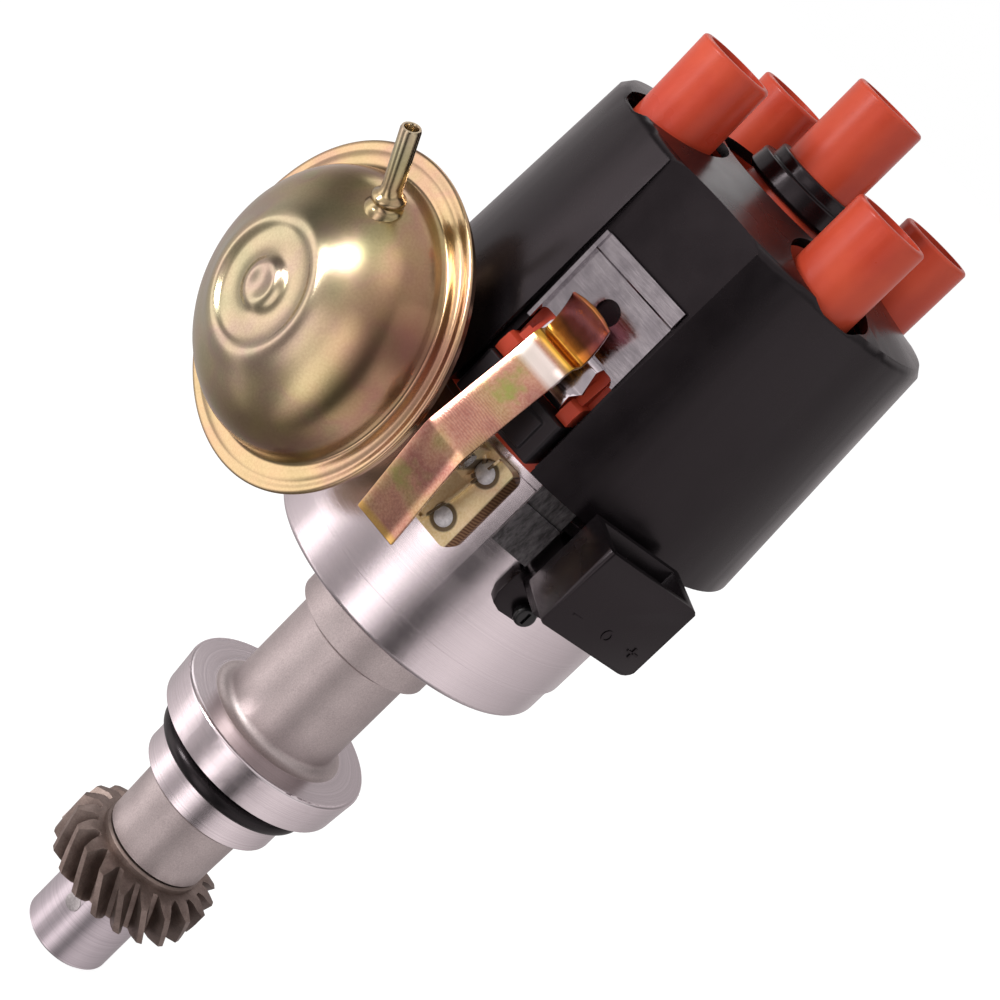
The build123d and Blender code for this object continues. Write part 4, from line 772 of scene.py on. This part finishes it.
def hose_nipple():
    """Tube with a flared foot and a bead, brazed into the dome."""
    piece = spun(NIPPLE_OUTLINE, steps=48)
    smooth(piece, 50)
    piece.data.transform(Matrix.Translation(NIPPLE_AT * MM) @ facing_way(NIPPLE_WAY))
    settle(piece, "hose_nipple", "body", "polished_steel", CAN_ZINC, ("vacuum_nipple",))


# Rivet head: radius and height over the bracket's face, in millimetres
RIVET_OUTLINE = ((0.0, -0.6), (2.65, -0.6), (2.7, 0.1), (2.5, 0.55), (2.0, 0.95), (1.1, 1.22), (0.0, 1.3))
BRACKET_FACE_Y = 38.7


def rivet_heads():
    """Domed heads of the four rivets of each hinge bracket; one is turned and copied."""
    first = spun(RIVET_OUTLINE, steps=32)
    smooth(first, 60)
    first.data.transform(facing_way(Vector((0, -1, 0))))
    heads = []
    for half_turns in (0, 1):
        for z in RIVET_ROWS:
            for x in (-RIVET_X, RIVET_X):
                head = own_copy(first)
                place = Matrix.Translation((x * MM, -BRACKET_FACE_Y * MM, z * MM))
                head.data.transform(Matrix.Rotation(math.pi * half_turns, 4, "Z") @ place)
                heads.append(head)
    bpy.data.objects.remove(first)
    settle(join(*heads), "bracket_rivet_heads", "body", "polished_steel", RIVET_STEEL, ("clip_rivets",))


# Cross pin of the drive hub, in millimetres and degrees round the axis
PIN_R = 2.2
PIN_LONG = 22.7
PIN_CHAMFER = 0.25
PIN_Z = -54.0
PIN_AZIMUTH = math.radians(-95.7)


def drive_pin():
    """Cross pin of the drive hub: its two ends are chamfered and stand just proud of the hub."""
    bpy.ops.mesh.primitive_cylinder_add(vertices=48, radius=PIN_R * MM, depth=PIN_LONG * MM)
    piece = bpy.context.object
    open_mesh(piece)
    pick(piece, "edges", lambda e: len({round(v.co.z, 5) for v in e.verts}) == 1)
    bpy.ops.mesh.bevel(offset=PIN_CHAMFER * MM, segments=2)
    close_mesh()
    smooth(piece)
    way = Vector((math.cos(PIN_AZIMUTH), math.sin(PIN_AZIMUTH), 0))
    piece.data.transform(Matrix.Translation((0, 0, PIN_Z * MM)) @ facing_way(way))
    settle(piece, "drive_cross_pin", "drive", "polished_steel", PIN_STEEL, ("gear_pin",))


def bent_strip(profile, half, thickness, edge):
    """Strip of sheet: a plane's two edges are placed, then one is drawn out from bend to bend."""
    (y0, z0), (y1, z1) = profile[:2]
    bpy.ops.mesh.primitive_plane_add(size=2 * half * MM)
    piece = bpy.context.object
    open_mesh(piece)
    pick(piece, "edges", lambda e: all(v.co.y < 0 for v in e.verts))
    bpy.ops.transform.translate(value=(0, (y0 + half) * MM, z0 * MM))
    pick(piece, "edges", lambda e: all(v.co.z < 1e-6 for v in e.verts))
    bpy.ops.transform.translate(value=(0, (y1 - half) * MM, z1 * MM))
    last = (y1, z1)
    for y, z in profile[2:]:
        step = (0, (y - last[0]) * MM, (z - last[1]) * MM)
        bpy.ops.mesh.extrude_region_move(TRANSFORM_OT_translate={"value": step})
        last = (y, z)
    bpy.ops.mesh.select_all(action="SELECT")
    bpy.ops.mesh.normals_make_consistent(inside=False)
    close_mesh()
    finish_modifier(piece, "SUBSURF", levels=2, render_levels=2, boundary_smooth="PRESERVE_CORNERS")
    finish_modifier(piece, "SOLIDIFY", thickness=thickness * MM, offset=0.0)
    break_edges(piece, edge)
    smooth(piece, 40)
    return piece


def turned_ring(outer, bore, width, edge):
    """Short tube along X at the origin: a cylinder with both ends inset and bridged."""
    bpy.ops.mesh.primitive_cylinder_add(
        vertices=40, radius=outer * MM, depth=width * MM, rotation=(0, math.pi / 2, 0)
    )
    piece = bpy.context.object
    bpy.ops.object.transform_apply(location=False, rotation=True, scale=False)
    open_mesh(piece)
    pick(piece, "faces", lambda f: abs(f.normal.x) > 0.9)
    bpy.ops.mesh.inset(thickness=(outer - bore) * MM)
    bpy.ops.mesh.bridge_edge_loops()
    close_mesh()
    break_edges(piece, edge)
    smooth(piece, 40)
    return piece


# Side view of the clip's leaf, from its tail to the tip of its hook: y, z in millimetres
LEAF_BENDS = (
    (-52.1, 78.5),
    (-52.3, 79.6),
    (-54.6, 88.6),
    (-56.5, 96.0),
    (-57.2, 99.2),
    (-57.6, 101.7),
    (-57.5, 102.6),
    (-56.4, 105.4),
    (-53.9, 111.6),
    (-50.9, 118.6),
    (-49.4, 122.2),
    (-48.9, 123.9),
    (-48.7, 125.2),
    (-48.2, 126.3),
    (-47.2, 126.9),
    (-45.9, 126.9),
    (-45.1, 127.5),
    (-44.9, 128.8),
    (-45.1, 130.4),
    (-45.7, 132.4),
    (-46.8, 134.6),
    (-48.4, 136.8),
)
LEAF_HALF = 5.15
LEAF_SHEET = 0.8
LEAF_EDGE = 0.16
# The tip above this height is rounded in front view: it rises in the middle and falls at its corners
TIP_Z = 135.5
TIP_LONG = 1.2
TIP_RISE = 0.45
TIP_ROUND = 0.75
# Knuckle on the hinge pin, and the web that joins it to the leaf
HINGE = Vector((0.0, -46.5, 99.0))
KNUCKLE_W = 2.4
KNUCKLE_R = 2.9
KNUCKLE_BORE_R = 1.35
WEB_AT = Vector((0.0, -52.4, 99.4))
WEB_SIZE = Vector((KNUCKLE_W, 8.0, 4.6))
WEB_FLARE = 1.3


def spring_clips():
    """Leaf with a hooked end, and the knuckle that turns on the pin, for the front and the rear."""
    leaf = bent_strip(LEAF_BENDS, LEAF_HALF, LEAF_SHEET, LEAF_EDGE)
    for vertex in leaf.data.vertices:
        x, z = vertex.co.x / MM, vertex.co.z / MM
        if z > TIP_Z:
            vertex.co.z += (TIP_RISE - TIP_ROUND * (x / LEAF_HALF) ** 2) * (z - TIP_Z) / TIP_LONG * MM
    knuckle = turned_ring(KNUCKLE_R, KNUCKLE_BORE_R, KNUCKLE_W, 0.2)
    knuckle.data.transform(Matrix.Translation(HINGE * MM))
    bpy.ops.mesh.primitive_cube_add(size=1, location=WEB_AT * MM)
    web = bpy.context.object
    web.scale = WEB_SIZE * MM
    bpy.ops.object.transform_apply(location=True, rotation=False, scale=True)
    open_mesh(web)
    pick(web, "faces", lambda f: f.normal.y < -0.9)
    bpy.ops.transform.resize(value=(1, 1, WEB_FLARE))
    close_mesh()
    finish_modifier(web, "BEVEL", width=0.25 * MM, segments=2)
    smooth(web)
    front = join(leaf, knuckle, web)
    rear = own_copy(front)
    rear.data.transform(Matrix.Rotation(math.pi, 4, "Z"))
    settle(front, "spring_clip_front", "clip_front", "gold_zinc", CLIP_ZINC, ("clip_front",))
    settle(rear, "spring_clip_rear", "clip_rear", "gold_zinc", CLIP_ZINC, ("clip_rear",))


# Cup round an outer tower: radius and height, in millimetres
WELL_OUTLINE = (
    (11.0, 164.6),
    (10.95, 163.0),
    (10.9, 160.0),
    (10.6, 158.8),
    (9.8, 158.3),
    (8.55, 158.2),
)
WELL_WALL = 0.6
TOWER_PITCH_R = 30.9


def tower_wells():
    """Black cup round each outer tower, between the shroud's roof and the cap below."""
    first = spun(WELL_OUTLINE, steps=64)
    finish_modifier(first, "SOLIDIFY", thickness=WELL_WALL * MM, offset=-1.0)
    smooth(first, 50)
    for number in range(4):
        well = own_copy(first)
        turn = Matrix.Rotation(math.radians(45 + 90 * number), 4, "Z")
        well.data.transform(turn @ Matrix.Translation((TOWER_PITCH_R * MM, 0, 0)))
        settle(well, f"tower_well_{number + 1}", "body", "black_plastic")
    bpy.data.objects.remove(first)


# Connector, in millimetres: across its face, distance from the shaft's axis, height
PLUG_TURN = Matrix.Rotation(math.radians(45), 4, "Z")
PLUG_LOW = (-11.7, 49.4, 91.4)
PLUG_HIGH = (11.7, 62.0, 110.6)
PLUG_WALL = 1.6
SOCKET_DEPTH = 15.5
LUG_LOW = (-8.4, 32.4, 78.8)
LUG_HIGH = (2.4, 39.4, 89.0)
FOOT_LOW = (-6.5, 32.4, 86.9)
FOOT_HIGH = (6.5, 50.4, 98.4)
# Polarity marks on the face: low and high corners of each stroke, across and up
MARK_STROKES = (
    ((-7.7, 96.2), (-5.6, 96.65)),
    ((6.6, 96.25), (9.2, 96.7)),
    ((7.65, 95.2), (8.1, 97.75)),
)
MARK_PROUD = 0.16
MARK_SUNK = 0.3
NOUGHT_AT = (1.1, 96.5)
NOUGHT_R = 1.25
NOUGHT_STROKE = 0.42


def boxed(low, high):
    """Cube primitive brought to a box; its front is the far side from the shaft, towards -Y."""
    middle = [(a + b) / 2 * MM for a, b in zip(low, high)]
    bpy.ops.mesh.primitive_cube_add(size=1, location=(middle[0], -middle[1], middle[2]))
    piece = bpy.context.object
    piece.scale = [(b - a) * MM for a, b in zip(low, high)]
    bpy.ops.object.transform_apply(location=True, rotation=False, scale=True)
    return piece


def round_edges(piece, way, x=None, y=None, z=None, width=1.0, steps=2):
    """Rounds a box's edges that run along one axis, at the given millimetres on the other axes."""
    def runs_there(edge):
        run = edge.verts[0].co - edge.verts[1].co
        if abs(run[way]) <= 0.97 * run.length:
            return False
        wanted = [(axis, mm) for axis, mm in enumerate((x, y, z)) if mm is not None]
        return all(abs(v.co[axis] / MM - mm) < 0.01 for axis, mm in wanted for v in edge.verts)

    open_mesh(piece)
    pick(piece, "edges", runs_there)
    bpy.ops.mesh.bevel(offset=width * MM, segments=steps, affect="EDGES")
    close_mesh()


def connector_shell():
    """Upright socket: round front corners, a big radius low on the right, and the open well for the plug."""
    left, _, bottom = PLUG_LOW
    right, front, top = PLUG_HIGH
    shell = boxed(PLUG_LOW, PLUG_HIGH)
    round_edges(shell, 1, x=right, z=bottom, width=2.8, steps=5)
    round_edges(shell, 1, x=left, z=bottom, width=0.8, steps=2)
    round_edges(shell, 1, x=right, z=top, width=1.5, steps=3)
    round_edges(shell, 2, x=left, y=-front, width=1.3, steps=4)
    round_edges(shell, 2, x=right, y=-front, width=0.9, steps=3)
    open_mesh(shell)
    pick(shell, "faces", lambda f: f.normal.z > 0.99)
    bpy.ops.mesh.inset(thickness=PLUG_WALL * MM)
    bpy.ops.mesh.extrude_region_move(TRANSFORM_OT_translate={"value": (0, 0, -SOCKET_DEPTH * MM)})
    close_mesh()
    break_edges(shell, 0.22, 45)
    smooth(shell, 35)
    return shell


def screw_lug():
    """Foot of the socket: a rounded lug against the bowl for the screw, and the block above it."""
    lug = boxed(LUG_LOW, LUG_HIGH)
    round_edges(lug, 1, z=LUG_LOW[2], width=3.2, steps=2)
    round_edges(lug, 1, x=LUG_LOW[0], z=LUG_HIGH[2], width=1.8, steps=2)
    break_edges(lug, 0.3, 45)
    foot = boxed(FOOT_LOW, FOOT_HIGH)
    finish_modifier(foot, "BEVEL", width=0.4 * MM, segments=2)
    smooth(lug)
    smooth(foot)
    return join(lug, foot)


def polarity_marks():
    """Raised minus, nought and plus on the socket's face, for the three pins."""
    face = PLUG_HIGH[1]
    strokes = [
        boxed((x0, face - MARK_SUNK, z0), (x1, face + MARK_PROUD, z1)) for (x0, z0), (x1, z1) in MARK_STROKES
    ]
    bpy.ops.mesh.primitive_cylinder_add(
        vertices=28, radius=NOUGHT_R * MM, depth=(MARK_SUNK + MARK_PROUD) * MM, rotation=(math.pi / 2, 0, 0)
    )
    nought = bpy.context.object
    bpy.ops.object.transform_apply(location=False, rotation=True, scale=False)
    open_mesh(nought)
    pick(nought, "faces", lambda f: abs(f.normal.y) > 0.9)
    bpy.ops.mesh.inset(thickness=NOUGHT_STROKE * MM)
    bpy.ops.mesh.bridge_edge_loops()
    bpy.ops.mesh.select_all(action="SELECT")
    bpy.ops.transform.resize(value=(0.85, 1, 1.1))
    sunk = (MARK_SUNK - MARK_PROUD) / 2
    bpy.ops.transform.translate(value=(NOUGHT_AT[0] * MM, (-face + sunk) * MM, NOUGHT_AT[1] * MM))
    close_mesh()
    return join(*strokes, nought)


def connector():
    """Three-pin socket with its lug, and the marks on its face, turned to their side of the bowl."""
    body = join(connector_shell(), screw_lug())
    body.data.transform(PLUG_TURN)
    settle(body, "connector_socket_body", "body", "black_plastic", stands_for=("connector_housing",))
    marks = polarity_marks()
    marks.data.transform(PLUG_TURN)
    settle(marks, "connector_polarity_marks", "body", "black_plastic")


for node, width in EASED_EDGES.items():
    ease(node, width)
vacuum_cover()
hose_nipple()
rivet_heads()
drive_pin()
spring_clips()
tower_wells()
connector()
deselect()

# Ring of soft boxes and dark gaps that bright metal mirrors: compass direction in degrees, brightness
MIRRORED_RING = (
    (-180, 0.85),
    (-168, 0.95),
    (-158, 2.20),
    (-146, 2.00),
    (-136, 0.75),
    (-116, 0.40),
    (-104, 0.45),
    (-96, 2.20),
    (-86, 1.90),
    (-75, 0.70),
    (-64, 0.10),
    (-52, 0.08),
    (-40, 0.85),
    (-16, 1.00),
    (10, 0.78),
    (60, 0.48),
    (110, 0.45),
    (150, 0.62),
    (180, 0.85),
)
RING_PEAK = 2.2
# Heights of the ring, as the rise of a unit direction: its lower and upper fade, and the ceiling's
RING_FOOT = (-0.95, -0.60)
RING_HEAD = (0.02, 0.30)
CEILING = (0.45, 0.85)
# Soft boxes over the camera: compass direction and rise in degrees, cosines of edge and middle, brightness
TOP_BOXES = (
    (-105, 25, 0.80, 0.97, 0.55),
    (-110, 52, 0.95, 0.99, 0.80),
    (100, 18, 0.60, 0.95, 0.22),
)
ROOM_DARK = 0.22
ROOM_TOP = 0.55
ROOM_LIT = 0.42


def white_world():
    """White where the camera sees past the object; a grey room with a ring of soft boxes for metal."""
    world = bpy.data.worlds.new("studio")
    bpy.context.scene.world = world
    world.use_nodes = True
    tree = world.node_tree
    tree.nodes.clear()
    ray = add(tree, "LightPath").node.outputs
    way = add(tree, "TexCoord", output="Generated")
    parts = add(tree, "SeparateXYZ", [way]).node.outputs
    compass = add(tree, "Math", [parts["Y"], parts["X"]], operation="ARCTAN2")
    round_ring = add(tree, "MapRange", [compass, -math.pi, math.pi, 0.0, 1.0])
    greys = [((turn + 180) / 360, [light / RING_PEAK] * 3 + [1.0]) for turn, light in MIRRORED_RING]
    ring = add(tree, "ValToRGB", [round_ring], stops=greys)
    ring = add(tree, "Math", [ring, RING_PEAK], operation="MULTIPLY")
    head = add(tree, "MapRange", [parts["Z"], *RING_HEAD, 1.0, 0.0])
    foot = add(tree, "MapRange", [parts["Z"], *RING_FOOT, 0.0, 1.0])
    window = add(tree, "Math", [head, foot], operation="MULTIPLY")
    ceiling = add(tree, "MapRange", [parts["Z"], *CEILING, 0.0, ROOM_TOP])
    room = add(tree, "Math", [ceiling, ROOM_DARK], operation="ADD")
    strength = add(tree, "Mix", {"Factor": window, "A": room, "B": ring})
    for compass_deg, rise_deg, start, full, brightness in TOP_BOXES:
        turn, lift = math.radians(compass_deg), math.radians(rise_deg)
        box = [math.cos(turn) * math.cos(lift), math.sin(turn) * math.cos(lift), math.sin(lift)]
        facing = add(tree, "VectorMath", [way, box], "Value", operation="DOT_PRODUCT")
        glow = add(tree, "MapRange", [facing, start, full, 0.0, brightness])
        strength = add(tree, "Math", [strength, glow], operation="ADD")
    dim = add(tree, "Background", ["FFFFFF", ROOM_LIT])
    mirrored = add(tree, "Background", ["FFF6F7", strength])
    white = add(tree, "Background", ["FFFFFF", 1.0])
    sharp = add(tree, "Math", [ray["Is Glossy Ray"], ray["Is Transmission Ray"]], operation="MAXIMUM")
    lit = add(tree, "MixShader", [sharp, dim, mirrored])
    seen = add(tree, "MixShader", [ray["Is Camera Ray"], lit, white])
    add(tree, "OutputWorld", {"Surface": seen})


# Floor: its height, just under the drive hub, and its radius, in millimetres
FLOOR_Z = -68.2
FLOOR_R = 6000.0


def make_floor():
    """Plain pale floor under the drive hub: white to the eye, with the object's shadow kept.

    Mirrored rays pass through it, so that metal shows the room's ring.
    """
    bpy.ops.mesh.primitive_circle_add(
        vertices=64, radius=FLOOR_R * MM, fill_type="NGON", location=(0, 0, FLOOR_Z * MM)
    )
    floor = bpy.context.object
    floor.name = "floor"
    finish = bpy.data.materials.new("pale floor")
    finish.use_nodes = True
    tree = finish.node_tree
    tree.nodes.clear()
    ray = add(tree, "LightPath").node.outputs
    paint = add(tree, "BsdfDiffuse", ["E0E0E0"])
    shade = add(tree, "BsdfDiffuse", ["A0A0A0"])
    glow = add(tree, "Emission", ["FFFFFF", 0.88])
    white = add(tree, "AddShader", [shade, glow])
    sharp = add(tree, "Math", [ray["Is Glossy Ray"], ray["Is Transmission Ray"]], operation="MAXIMUM")
    below = add(tree, "MixShader", [sharp, paint, add(tree, "BsdfTransparent")])
    seen = add(tree, "MixShader", [ray["Is Camera Ray"], below, white])
    add(tree, "OutputMaterial", {"Surface": seen})
    floor.data.materials.append(finish)
    floor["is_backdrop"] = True


# Lamps: direction to the image's right, up and towards the camera; distance, width and height in
# metres; watts
LAMPS = {
    "key": ((-0.55, 0.80, 0.75), 0.9, 0.14, 0.36, 4.2),
    "fill": ((0.85, -0.35, 0.75), 1.1, 1.5, 1.2, 2.0),
    "rim": ((0.3, 0.9, -0.5), 1.1, 0.8, 0.3, 1.0),
}
LIT_AT = Vector((0, 0, 60)) * MM


def soft_box(name, way, distance, width, height, power):
    """Area lamp that faces the object's middle."""
    right, up, nearer = way
    offset = (IMAGE_RIGHT * right + IMAGE_UP * up - LOOKS * nearer).normalized()
    data = bpy.data.lights.new(name, "AREA")
    data.shape = "RECTANGLE"
    data.size = width
    data.size_y = height
    data.energy = power
    lamp = bpy.data.objects.new(name, data)
    bpy.context.scene.collection.objects.link(lamp)
    lamp.location = LIT_AT + offset * distance
    lamp.rotation_mode = "QUATERNION"
    lamp.rotation_quaternion = (-offset).to_track_quat("-Z", "Y")


white_world()
make_floor()
for name, settings in LAMPS.items():
    soft_box(name, *settings)

write_sizes("visual", sizes)
